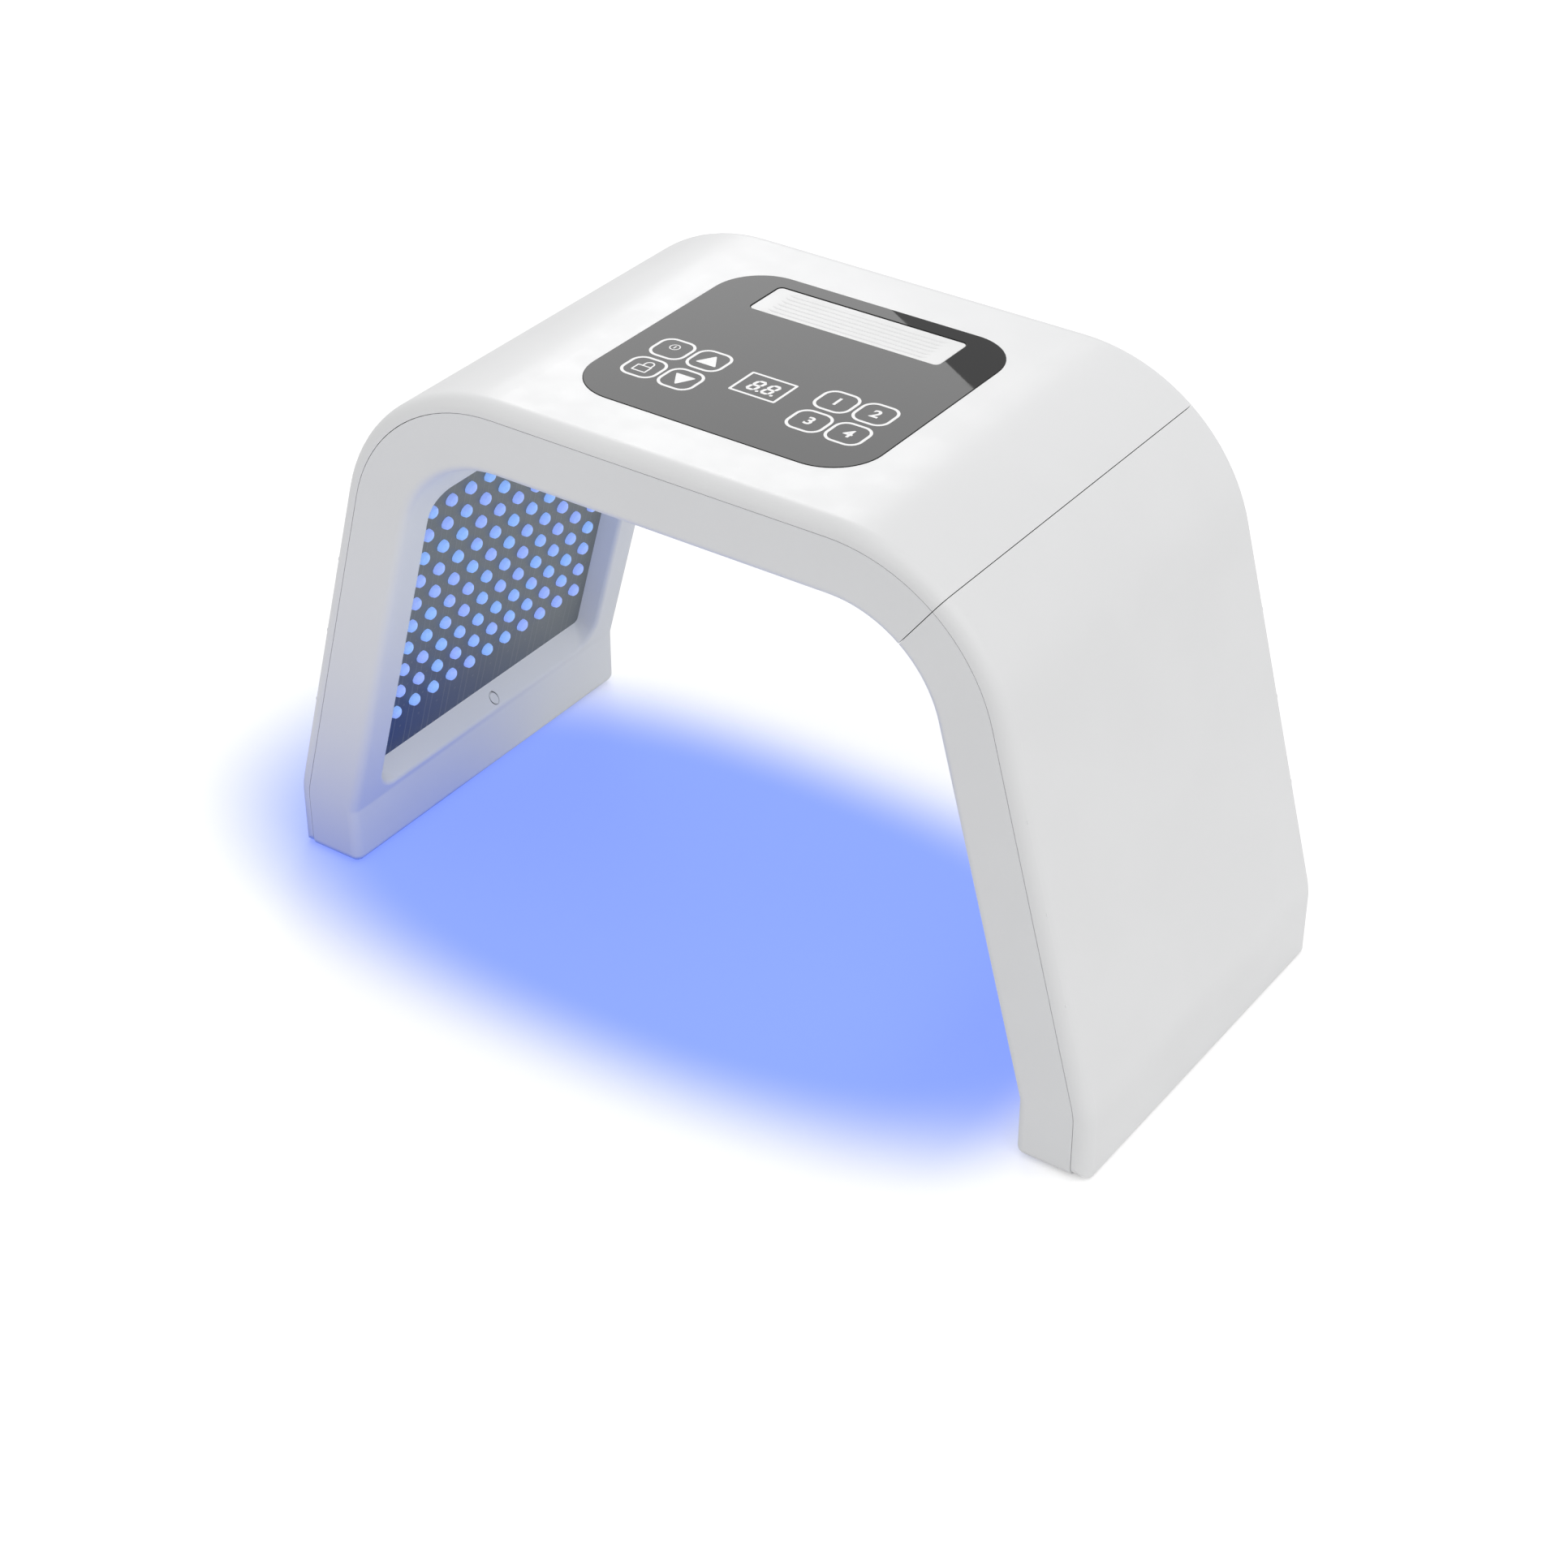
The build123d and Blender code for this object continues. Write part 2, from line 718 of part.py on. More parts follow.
def touch_hooks():
    """The hooks that hold the touch board up against the panel's seat."""
    edge = touch_board_length / 2 + part_clearance
    for end in (-1, 1):
        for side in (-1, 1):
            with Locations((end * touch_hook_x, key_row_y + side * edge, seat_underside)):
                Box(
                    touch_hook_width,
                    touch_hook_wall,
                    touch_board_thickness + touch_hook_lip,
                    align=(Align.CENTER, Align.MIN if side > 0 else Align.MAX, Align.MAX),
                )
            with Locations((end * touch_hook_x, key_row_y + side * edge, touch_underside)):
                Box(
                    touch_hook_width,
                    2 * touch_hook_lip,
                    touch_hook_lip,
                    align=(Align.CENTER, Align.CENTER, Align.MAX),
                )


with BuildPart() as crown_shell:
    add(one_side(outer_mass, crown_end, Keep.BOTTOM))
    add(one_side(shell_core, crown_end.offset(-shell_wall), Keep.BOTTOM), mode=Mode.SUBTRACT)
    add(parting_mass, mode=Mode.SUBTRACT)
    flat_posts(crown_face, crown_cover_screws, cover_pad_depth, boss_far, cover_boss_radius)
    pilot = cover_screw_radius + screw_clearance
    flat_posts(crown_face, crown_cover_screws, 0, cover_pilot, pilot, Mode.SUBTRACT)
    leg_bosses(left_face, sill_plane(-1))
    with BuildSketch(key_floor):
        panel_outline(panel_seat_margin)
    extrude(amount=arch_height - shell_wall / 2 - seat_underside)
    touch_hooks()
    with BuildSketch(Plane.XY.offset(driver_top)):
        with Locations(*driver_points):
            RegularPolygon(standoff_radius, screw_sides)
    extrude(amount=driver_drop)
    with BuildSketch(Plane.XY.offset(seat_floor)):
        panel_outline(part_clearance)
    extrude(amount=panel_thickness, mode=Mode.SUBTRACT)
    with BuildSketch(key_floor):
        with Locations((0, key_row_y)):
            RectangleRounded(key_opening_width, key_opening_length, key_opening_radius)
        vent_outline(-vent_lip)
    extrude(amount=panel_seat, mode=Mode.SUBTRACT)
    with BuildSketch(Plane.XY.offset(driver_top)):
        with Locations(*driver_points):
            RegularPolygon(board_screw_radius + screw_clearance, screw_sides)
    extrude(amount=board_screw_length, mode=Mode.SUBTRACT)
    with BuildSketch(key_floor):
        with Locations(*fan_points):
            RegularPolygon(board_screw_radius + screw_clearance, screw_sides)
    extrude(amount=fan_screw_bite + screw_clearance, mode=Mode.SUBTRACT)
crown_shell.part.label = "crown_shell"
export_step(crown_shell.part, "parts/crown_shell.step")

with BuildPart() as wing_shell:
    add(one_side(outer_mass, wing_end, Keep.TOP))
    add(one_side(shell_core, wing_end.offset(shell_wall), Keep.TOP), mode=Mode.SUBTRACT)
    add(parting_mass, mode=Mode.SUBTRACT)
    leg_bosses(right_face, sill_plane(1))
wing_shell.part.label = "wing_shell"
export_step(wing_shell.part, "parts/wing_shell.step")

# Touch panel and what lies under it

with BuildPart() as control_panel:
    with BuildSketch(Plane.XY.offset(seat_floor)):
        panel_outline(0)
    extrude(amount=panel_thickness)
    chamfer(control_panel.faces().sort_by(Axis.Z)[-1].edges(), length=panel_edge)
    with BuildSketch(Plane.XY.offset(seat_floor)):
        vent_outline(part_clearance)
    extrude(amount=panel_thickness, mode=Mode.SUBTRACT)
control_panel.part.label = "control_panel"
export_step(control_panel.part, "parts/control_panel.step")

vent_top = seat_floor + panel_thickness
slat_pitch = (vent_length - 2 * vent_rim) / vent_slats
slat_drop = vent_top - vent_slat_sink - seat_underside - part_clearance
slat_start = -vent_width / 2 + vent_rim - part_clearance
slat_plane = Plane(
    origin=(slat_start, vent_y, vent_top - vent_slat_sink), x_dir=(0, 1, 0), z_dir=(1, 0, 0)
)

with BuildPart() as vent_grille:
    with BuildSketch(Plane.XY.offset(seat_floor)):
        vent_outline(0)
    extrude(amount=panel_thickness)
    with BuildSketch(key_floor.offset(part_clearance)):
        vent_outline(-vent_lip - part_clearance)
    extrude(amount=panel_seat)
    with BuildSketch(key_floor):
        with Locations((0, vent_y)):
            Rectangle(vent_width - 2 * vent_rim, vent_length - 2 * vent_rim)
    extrude(amount=panel_seat + panel_thickness, mode=Mode.SUBTRACT)
    with BuildSketch(slat_plane):
        for number in range(vent_slats - 1):
            top_y = (number - (vent_slats - 2) / 2) * slat_pitch + vent_slat_lean / 2
            with BuildLine():
                Polyline(
                    (top_y - vent_slat_thickness / 2, 0),
                    (top_y + vent_slat_thickness / 2, 0),
                    (top_y + vent_slat_thickness / 2 - vent_slat_lean, -slat_drop),
                    (top_y - vent_slat_thickness / 2 - vent_slat_lean, -slat_drop),
                    close=True,
                )
            make_face()
    extrude(amount=vent_width - 2 * vent_rim + 2 * part_clearance)
vent_grille.part.label = "vent_grille"
export_step(vent_grille.part, "parts/vent_grille.step")

with BuildPart() as touch_board:
    with BuildSketch(key_floor):
        with Locations((0, key_row_y)):
            RectangleRounded(touch_board_width, touch_board_length, board_boss_radius)
        with Locations((0, display_y)):
            Rectangle(
                display_width + 2 * part_clearance,
                display_length + 2 * part_clearance,
                mode=Mode.SUBTRACT,
            )
    extrude(amount=-touch_board_thickness)
touch_board.part.label = "touch_board"
export_step(touch_board.part, "parts/touch_board.step")

with BuildPart() as touch_pads:
    with BuildSketch(key_floor):
        with Locations(*key_points):
            RegularPolygon(touch_pad_share * key_pitch_x, screw_sides)
    extrude(amount=panel_seat)
touch_pads.part.label = "touch_pads"
export_step(touch_pads.part, "parts/touch_pads.step")

with BuildPart() as display_module:
    with BuildSketch(Plane.XY.offset(seat_floor - display_height)):
        with Locations((0, display_y)):
            Rectangle(display_width, display_length)
    extrude(amount=display_height)
    with BuildSketch(Plane.XY.offset(touch_underside)):
        with Locations((0, display_y)):
            Rectangle(display_width + 2 * display_flange, display_length + 2 * display_flange)
    extrude(amount=-display_flange_height)
display_module.part.label = "display_module"
export_step(display_module.part, "parts/display_module.step")

with BuildPart() as driver_board:
    with BuildSketch(Plane.XY.offset(driver_top)):
        with Locations((driver_x, driver_y)):
            Rectangle(driver_width, driver_length)
        with Locations(*driver_points):
            RegularPolygon(
                board_screw_radius + screw_clearance, screw_sides, mode=Mode.SUBTRACT
            )
    extrude(amount=-driver_thickness)
    underside = Plane.XY.offset(driver_top - driver_thickness)
    with BuildSketch(underside):
        with Locations((driver_x - driver_width / 4, driver_y)):
            Circle(coil_radius)
    extrude(amount=-coil_height)
    with BuildSketch(underside):
        with Locations((driver_x, driver_y + driver_length / 4)):
            Circle(capacitor_radius)
    extrude(amount=-capacitor_height)
    with BuildSketch(underside):
        with Locations((driver_x + driver_width / 4, driver_y)):
            Rectangle(chip_size, chip_size)
    extrude(amount=-chip_height)
driver_board.part.label = "driver_board"
export_step(driver_board.part, "parts/driver_board.step")

# Fan

with BuildPart() as fan_frame:
    with BuildSketch(Plane.XY.offset(fan_floor)):
        with Locations((fan_x, vent_y)):
            RectangleRounded(fan_size, fan_size, fan_corner_radius)
            Circle(fan_duct_radius, mode=Mode.SUBTRACT)
        with Locations(*fan_points):
            RegularPolygon(
                board_screw_radius + screw_clearance, screw_sides, mode=Mode.SUBTRACT
            )
    extrude(amount=fan_height)
    with BuildSketch(Plane.XY.offset(fan_floor)):
        with Locations((fan_x, vent_y)):
            Circle(fan_carrier_radius)
            with PolarLocations((fan_carrier_radius + fan_duct_radius) / 2, len(fan_points)):
                Rectangle(fan_duct_radius - fan_carrier_radius + fan_strut, fan_strut)
            Circle(fan_shaft_radius + running_gap, mode=Mode.SUBTRACT)
    extrude(amount=fan_carrier_height)
fan_frame.part.label = "fan_frame"
export_step(fan_frame.part, "parts/fan_frame.step")

fan_tip_radius = fan_duct_radius - fan_running_gap
hub_floor = fan_floor + fan_carrier_height + fan_running_gap
hub_middle = Location((fan_x, vent_y, hub_floor + fan_hub_height / 2))
blade_length = fan_tip_radius - fan_hub_radius
blade_reach = fan_hub_radius + blade_length / 2 - fan_blade_root
blade = Location((blade_reach, 0, 0), (fan_blade_pitch, 0, 0))
blade_places = [
    hub_middle * Location((0, 0, 0), (0, 0, 360 * number / fan_blades)) * blade
    for number in range(fan_blades)
]

with BuildPart() as fan_rotor:
    with BuildSketch(Plane.XY.offset(hub_floor)):
        with Locations((fan_x, vent_y)):
            Circle(fan_hub_radius)
    extrude(amount=fan_hub_height)
    with BuildSketch(Plane.XY.offset(fan_floor)):
        with Locations((fan_x, vent_y)):
            Circle(fan_shaft_radius)
    extrude(amount=hub_floor - fan_floor + fan_hub_height / 2)
    with Locations(*blade_places):
        Box(blade_length, fan_blade_chord, fan_blade_thickness)
fan_rotor.part.label = "fan_rotor"
export_step(fan_rotor.part, "parts/fan_rotor.step")

# Power inlet

with BuildPart() as power_inlet:
    posts(inlet_face, middle, 0, liner_wall, inlet_barrel_radius)
    flange_end = liner_wall + inlet_flange_height
    posts(inlet_face, middle, liner_wall, flange_end, inlet_flange_radius)
    with Locations(*places(inlet_face.offset(-liner_wall), middle)):
        Box(
            inlet_body, inlet_body, inlet_body_depth, align=(Align.CENTER, Align.CENTER, Align.MAX)
        )
    posts(inlet_face, middle, 0, inlet_bore_depth, inlet_bore_radius, Mode.SUBTRACT)
    posts(inlet_face, middle, liner_wall, inlet_bore_depth, inlet_pin_radius)
power_inlet.part.label = "power_inlet"
export_step(power_inlet.part, "parts/power_inlet.step")

# Lamp boards and lamps


def lamp_board(face, low, high, screws):
    """A lamp board behind a window, with its screw holes."""
    with BuildPart() as board:
        with BuildSketch(face.offset(-recess_depth)):
            with Locations((0, (low + high) / 2)):
                Rectangle(board_width, high - low)
            with Locations(*screws):
                RegularPolygon(
                    board_screw_radius + screw_clearance, screw_sides, mode=Mode.SUBTRACT
                )
        extrude(amount=-board_thickness)
    return board.part


with BuildPart() as lamp:
    with BuildSketch():
        RegularPolygon(lamp_radius, lamp_sides)
    extrude(amount=lamp_height, taper=lamp_taper)

leg_lamp_low = leg_low + sill_run + leg_lamp_start
lamp_columns = round((window_width - 2 * lamp_side_margin) / lamp_pitch) + 1
leg_lamp_rows = round((leg_high - leg_lamp_end - leg_lamp_low) / lamp_pitch) + 1
crown_lamp_rows = round((crown_window_length - 2 * crown_lamp_end) / lamp_pitch) + 1
lamp_xs = [(column - (lamp_columns - 1) / 2) * lamp_pitch for column in range(lamp_columns)]
leg_lamps = [
    (x, leg_lamp_low + row * lamp_pitch, 0) for x in lamp_xs for row in range(leg_lamp_rows)
]
crown_lamps = [
    (x, (row - (crown_lamp_rows - 1) / 2) * lamp_pitch, 0)
    for x in lamp_xs
    for row in range(crown_lamp_rows)
]

with BuildPart() as led_board_left:
    add(lamp_board(left_face, leg_board_low, leg_board_high, leg_board_screws))
led_board_left.part.label = "led_board_left"
export_step(led_board_left.part, "parts/led_board_left.step")

with BuildPart() as led_board_crown:
    add(lamp_board(crown_face, -crown_board_half, crown_board_half, crown_board_screws))
led_board_crown.part.label = "led_board_crown"
export_step(led_board_crown.part, "parts/led_board_crown.step")

with BuildPart() as led_board_wing:
    add(lamp_board(right_face, leg_board_low, leg_board_high, leg_board_screws))
led_board_wing.part.label = "led_board_wing"
export_step(led_board_wing.part, "parts/led_board_wing.step")

with BuildPart() as led_lenses_left:
    add(each(lamp.part, inward(left_face, recess_depth, leg_lamps)))
led_lenses_left.part.label = "led_lenses_left"
export_step(led_lenses_left.part, "parts/led_lenses_left.step")

with BuildPart() as led_lenses_crown:
    add(each(lamp.part, inward(crown_face, recess_depth, crown_lamps)))
led_lenses_crown.part.label = "led_lenses_crown"
export_step(led_lenses_crown.part, "parts/led_lenses_crown.step")

with BuildPart() as led_lenses_wing:
    add(each(lamp.part, inward(right_face, recess_depth, leg_lamps)))
led_lenses_wing.part.label = "led_lenses_wing"
export_step(led_lenses_wing.part, "parts/led_lenses_wing.step")

# Hinges

hinge_rows = [Location((0, y, 0)) for y in hinge_ys]

with BuildPart() as hinge_leaves_crown:
    add(each(crown_leaf, hinge_rows))
hinge_leaves_crown.part.label = "hinge_leaves_crown"
export_step(hinge_leaves_crown.part, "parts/hinge_leaves_crown.step")

with BuildPart() as hinge_leaves_wing:
    add(each(wing_leaf, hinge_rows))
hinge_leaves_wing.part.label = "hinge_leaves_wing"
export_step(hinge_leaves_wing.part, "parts/hinge_leaves_wing.step")

with BuildPart() as hinge_pins:
    with Locations(*places(pivot_axis, [(0, 0, y) for y in hinge_ys])):
        Cylinder(hinge_pin_radius, hinge_width + 2 * hinge_pin_head_height)
    head_middle = (hinge_width + hinge_pin_head_height) / 2 + running_gap
    head_ys = [y + side * head_middle for y in hinge_ys for side in (-1, 1)]
    with Locations(*places(pivot_axis, [(0, 0, y) for y in head_ys])):
        Cylinder(hinge_pin_head_radius, hinge_pin_head_height)
hinge_pins.part.label = "hinge_pins"
export_step(hinge_pins.part, "parts/hinge_pins.step")

# Screws, plugs and foot pads

hinge_screw = sunk_screw(hinge_screw_head_radius, hinge_screw_radius, hinge_screw_length)
cover_screw = pan_screw(
    cover_screw_head_radius, cover_screw_head_height, cover_screw_radius, cover_screw_length
)
board_screw = pan_screw(
    board_screw_head_radius, board_screw_head_height, board_screw_radius, board_screw_length
)
fan_screw = pan_screw(
    board_screw_head_radius,
    board_screw_head_height,
    board_screw_radius,
    fan_height + fan_screw_bite,
)
board_back = recess_depth + board_thickness

with BuildPart() as hinge_screws_crown:
    add(each(hinge_screw, places(crown_end, hinge_screw_points)))
hinge_screws_crown.part.label = "hinge_screws_crown"
export_step(hinge_screws_crown.part, "parts/hinge_screws_crown.step")

with BuildPart() as hinge_screws_wing:
    add(each(hinge_screw, outward(wing_end, 0, hinge_screw_points)))
hinge_screws_wing.part.label = "hinge_screws_wing"
export_step(hinge_screws_wing.part, "parts/hinge_screws_wing.step")

with BuildPart() as cover_screws_crown:
    add(each(cover_screw, inward(crown_face, cover_head_depth, crown_cover_screws)))
    add(each(cover_screw, inward(corner_plane(left_face), cover_head_depth, leg_cover_screws)))
    add(each(cover_screw, inward(sill_plane(-1), sill_head_depth, middle)))
cover_screws_crown.part.label = "cover_screws_crown"
export_step(cover_screws_crown.part, "parts/cover_screws_crown.step")

with BuildPart() as cover_screws_wing:
    add(each(cover_screw, inward(corner_plane(right_face), cover_head_depth, leg_cover_screws)))
    add(each(cover_screw, inward(sill_plane(1), sill_head_depth, middle)))
cover_screws_wing.part.label = "cover_screws_wing"
export_step(cover_screws_wing.part, "parts/cover_screws_wing.step")

driver_screws = [
    Location((x, y, driver_top - driver_thickness), (180, 0, 0)) for x, y in driver_points
]

with BuildPart() as board_screws_crown:
    add(each(board_screw, outward(crown_face, board_back, crown_board_screws)))
    add(each(board_screw, outward(left_face, board_back, leg_board_screws)))
    add(each(board_screw, driver_screws))
board_screws_crown.part.label = "board_screws_crown"
export_step(board_screws_crown.part, "parts/board_screws_crown.step")

with BuildPart() as board_screws_wing:
    add(each(board_screw, outward(right_face, board_back, leg_board_screws)))
board_screws_wing.part.label = "board_screws_wing"
export_step(board_screws_wing.part, "parts/board_screws_wing.step")

with BuildPart() as fan_screws:
    add(each(fan_screw, [Location((x, y, fan_floor), (180, 0, 0)) for x, y in fan_points]))
fan_screws.part.label = "fan_screws"
export_step(fan_screws.part, "parts/fan_screws.step")

with BuildPart() as screw_plug_left:
    posts(sill_plane(-1), middle, -overrun, sill_plug_top + sill_plug_height, sill_plug_radius)
    add(left_window, mode=Mode.SUBTRACT)
screw_plug_left.part.label = "screw_plug_left"
export_step(screw_plug_left.part, "parts/screw_plug_left.step")

with BuildPart() as screw_plug_wing:
    posts(sill_plane(1), middle, -overrun, sill_plug_top + sill_plug_height, sill_plug_radius)
    add(right_window, mode=Mode.SUBTRACT)
screw_plug_wing.part.label = "screw_plug_wing"
export_step(screw_plug_wing.part, "parts/screw_plug_wing.step")

with BuildPart() as foot_pads_left:
    add(foot_pad_solids(-1, 0, pad_proud + pad_sink))
foot_pads_left.part.label = "foot_pads_left"
export_step(foot_pads_left.part, "parts/foot_pads_left.step")

with BuildPart() as foot_pads_wing:
    add(foot_pad_solids(1, 0, pad_proud + pad_sink))
foot_pads_wing.part.label = "foot_pads_wing"
export_step(foot_pads_wing.part, "parts/foot_pads_wing.step")
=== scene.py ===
"""Looks of a table-top light arch: a white two-part housing, lamp boards and a touch panel.

Lengths in the classes are in millimetres and meshes are made in metres. X runs across the
feet, Y from front rim to back rim and Z up from the table.
"""

import logging
import math
from dataclasses import dataclass
from enum import Enum

import bmesh
import bpy
from mathutils import Matrix, Vector


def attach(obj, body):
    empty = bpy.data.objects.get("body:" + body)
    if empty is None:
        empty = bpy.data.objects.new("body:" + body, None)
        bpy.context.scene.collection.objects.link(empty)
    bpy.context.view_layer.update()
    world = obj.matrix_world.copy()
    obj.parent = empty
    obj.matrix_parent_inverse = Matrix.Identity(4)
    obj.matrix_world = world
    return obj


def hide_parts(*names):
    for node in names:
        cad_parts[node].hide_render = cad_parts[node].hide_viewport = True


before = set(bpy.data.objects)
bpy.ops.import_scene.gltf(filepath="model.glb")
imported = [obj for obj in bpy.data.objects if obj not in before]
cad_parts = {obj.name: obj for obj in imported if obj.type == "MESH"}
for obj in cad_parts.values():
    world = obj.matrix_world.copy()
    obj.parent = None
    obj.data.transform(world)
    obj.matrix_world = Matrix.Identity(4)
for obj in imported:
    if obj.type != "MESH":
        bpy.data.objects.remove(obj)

MM = 0.001
WELD_REACH = 0.001
LEVEL_SHARE = 0.9999
NOISE_BAND = (0.3, 0.7)
Pair = tuple[float, float]
Triple = tuple[float, float, float]
Outline = list[Pair]
Colour = Triple
Socket = bpy.types.NodeSocket
Number = float | Socket
Tint = Colour | Socket
logging.basicConfig(level=logging.INFO, format="%(message)s")
report = logging.getLogger("light arch")


class Body(Enum):
    """The moving bodies that pieces ride on."""

    FRAME = "frame"
    WING = "wing"


class Bulk(Enum):
    """The kinds of ready finish that hidden and small parts take."""

    STEEL = "steel"
    BLACK = "black moulding"
    RUBBER = "rubber"
    FOAM = "foam"


# Node trees


class Wiring:
    """Adds nodes to a tree and joins them."""

    def __init__(self, tree: bpy.types.NodeTree) -> None:
        """Keeps the tree that nodes are added to."""
        self.tree = tree

    def node(self, kind: str, inputs: dict | None = None, **settings: str) -> bpy.types.Node:
        """Adds one node.

        Args:
            kind: The node's type.
            inputs: Sockets by name or number, each with a value or a socket to join.
            **settings: The node's own properties.

        Returns:
            The new node.
        """
        made = self.tree.nodes.new(kind)
        for key, value in settings.items():
            setattr(made, key, value)
        for key, value in (inputs or {}).items():
            if isinstance(value, Socket):
                self.tree.links.new(value, made.inputs[key])
            else:
                made.inputs[key].default_value = value
        return made

    def math(self, operation: str, first: Number, second: Number = 0.0) -> Socket:
        """One sum on numbers.

        Args:
            operation: The operation's name.
            first: A number or a socket.
            second: A number or a socket.

        Returns:
            The socket with the result.
        """
        return self.node("ShaderNodeMath", {0: first, 1: second}, operation=operation).outputs[0]

    def object_place(self, turn: Vector | None = None, place: Vector | None = None) -> Socket:
        """Object coordinates, laid on a plane where one is given.

        Args:
            turn: The plane's turn as an Euler angle.
            place: The plane's origin in metres.

        Returns:
            The socket with the coordinates.
        """
        place_in_piece = self.node("ShaderNodeTexCoord").outputs["Object"]
        if turn is None:
            return place_in_piece
        return self.node(
            "ShaderNodeMapping",
            {"Vector": place_in_piece, "Location": place, "Rotation": turn},
            vector_type="TEXTURE",
        ).outputs[0]

    def noise(self, place: Socket, size: float, detail: float = 2.0) -> Socket:
        """Noise of one size.

        Args:
            place: The coordinates' socket.
            size: The size of its lumps in millimetres.
            detail: The number of finer layers.

        Returns:
            The socket with values about 0.5.
        """
        inputs = {"Vector": place, "Scale": 1 / (size * MM), "Detail": detail}
        return self.node("ShaderNodeTexNoise", inputs).outputs[0]

    def ramp(
        self, value: Socket, low: float, high: float, start: float, end: float
    ) -> Socket:
        """A value stretched from one range to another with soft ends.

        Args:
            value: The socket to stretch.
            low: The value that gives start.
            high: The value that gives end.
            start: The result at low.
            end: The result at high.

        Returns:
            The socket with the result.
        """
        return self.node(
            "ShaderNodeMapRange",
            {"Value": value, 1: low, 2: high, 3: start, 4: end},
            interpolation_type="SMOOTHSTEP",
        ).outputs[0]

    def near_pool(self, place: Socket, lean: float, near: float, far: float) -> Socket:
        """How much of the pool's light falls on a spot: most at the front of a leg's foot.

        Args:
            place: The coordinates' socket.
            lean: How much a step backwards counts against a step upwards.
            near: The reach in millimetres where the share is 1.
            far: The reach where the share is 0.

        Returns:
            The socket with the share.
        """
        parts = self.node("ShaderNodeSeparateXYZ", {0: place}).outputs
        away = self.math("ADD", parts[2], self.math("MULTIPLY", parts[1], lean))
        return self.ramp(away, near * MM, far * MM, 1.0, 0.0)

    def mix(self, share: Number, first: Tint, second: Tint) -> Socket:
        """A blend of two colours.

        Args:
            share: How much of the second, as a number or a socket.
            first: A colour or a socket.
            second: A colour or a socket.

        Returns:
            The socket with the blend.
        """
        first, second = (
            (*colour, 1.0) if isinstance(colour, tuple) else colour for colour in (first, second)
        )
        made = self.node("ShaderNodeMix", {0: share, 6: first, 7: second}, data_type="RGBA")
        return made.outputs[2]

    def bump(self, height: Socket, depth: float, under: Socket | None = None) -> Socket:
        """A bump from a height.

        Args:
            height: The socket with heights from 0 to 1.
            depth: The depth of the bump in millimetres.
            under: The normal of a coarser bump below it.

        Returns:
            The socket with the normal.
        """
        inputs = {"Height": height, "Distance": depth * MM, "Strength": 1.0}
        if under is not None:
            inputs["Normal"] = under
        return self.node("ShaderNodeBump", inputs).outputs[0]


# Finishes


@dataclass(frozen=True)
class Finish:
    """What every finish has: a name, a colour and a roughness."""

    name: str
    colour: Colour
    roughness: float

    def material(self) -> bpy.types.Material:
        """The finish's material, made once.

        Returns:
            The material.
        """
        found = bpy.data.materials.get(self.name)
        if found:
            return found
        made = bpy.data.materials.new(self.name)
        made.use_nodes = True
        shader = made.node_tree.nodes["Principled BSDF"]
        shader.inputs["Base Color"].default_value = (*self.colour, 1.0)
        shader.inputs["Roughness"].default_value = self.roughness
        self.surface(Wiring(made.node_tree), shader)
        return made

    def surface(self, wiring: Wiring, shader: bpy.types.Node) -> None:
        """Adds the detail that one kind of finish has.

        Args:
            wiring: The material's nodes.
            shader: The material's shader.
        """


@dataclass(frozen=True)
class Moulding(Finish):
    """Moulded plastic: fine spark grain, a slight swell and a little cloudiness."""

    grain: float = 0.9
    grain_depth: float = 0.004
    swell: float = 45.0
    swell_depth: float = 0.05
    cloud: float = 60.0
    cloud_shade: float = 0.985
    cloud_band: Pair = (0.35, 0.65)
    gloss_patch: float = 14.0
    gloss_change: Pair = (-0.03, 0.04)

    def surface(self, wiring: Wiring, shader: bpy.types.Node) -> None:
        """Adds cloudiness, grain, swell and patches of gloss.

        Args:
            wiring: The material's nodes.
            shader: The material's shader.
        """
        place = wiring.object_place()
        cloud = wiring.ramp(wiring.noise(place, self.cloud), *self.cloud_band, 0.0, 1.0)
        shaded = tuple(part * self.cloud_shade for part in self.colour)
        grain = wiring.noise(place, self.grain)
        swell = wiring.bump(wiring.noise(place, self.swell, 0.0), self.swell_depth)
        gloss = wiring.ramp(
            wiring.noise(place, self.gloss_patch), *NOISE_BAND,
            *(self.roughness + change for change in self.gloss_change),
        )
        links = wiring.tree.links
        links.new(wiring.mix(cloud, self.colour, shaded), shader.inputs["Base Color"])
        links.new(gloss, shader.inputs["Roughness"])
        links.new(wiring.bump(grain, self.grain_depth, swell), shader.inputs["Normal"])


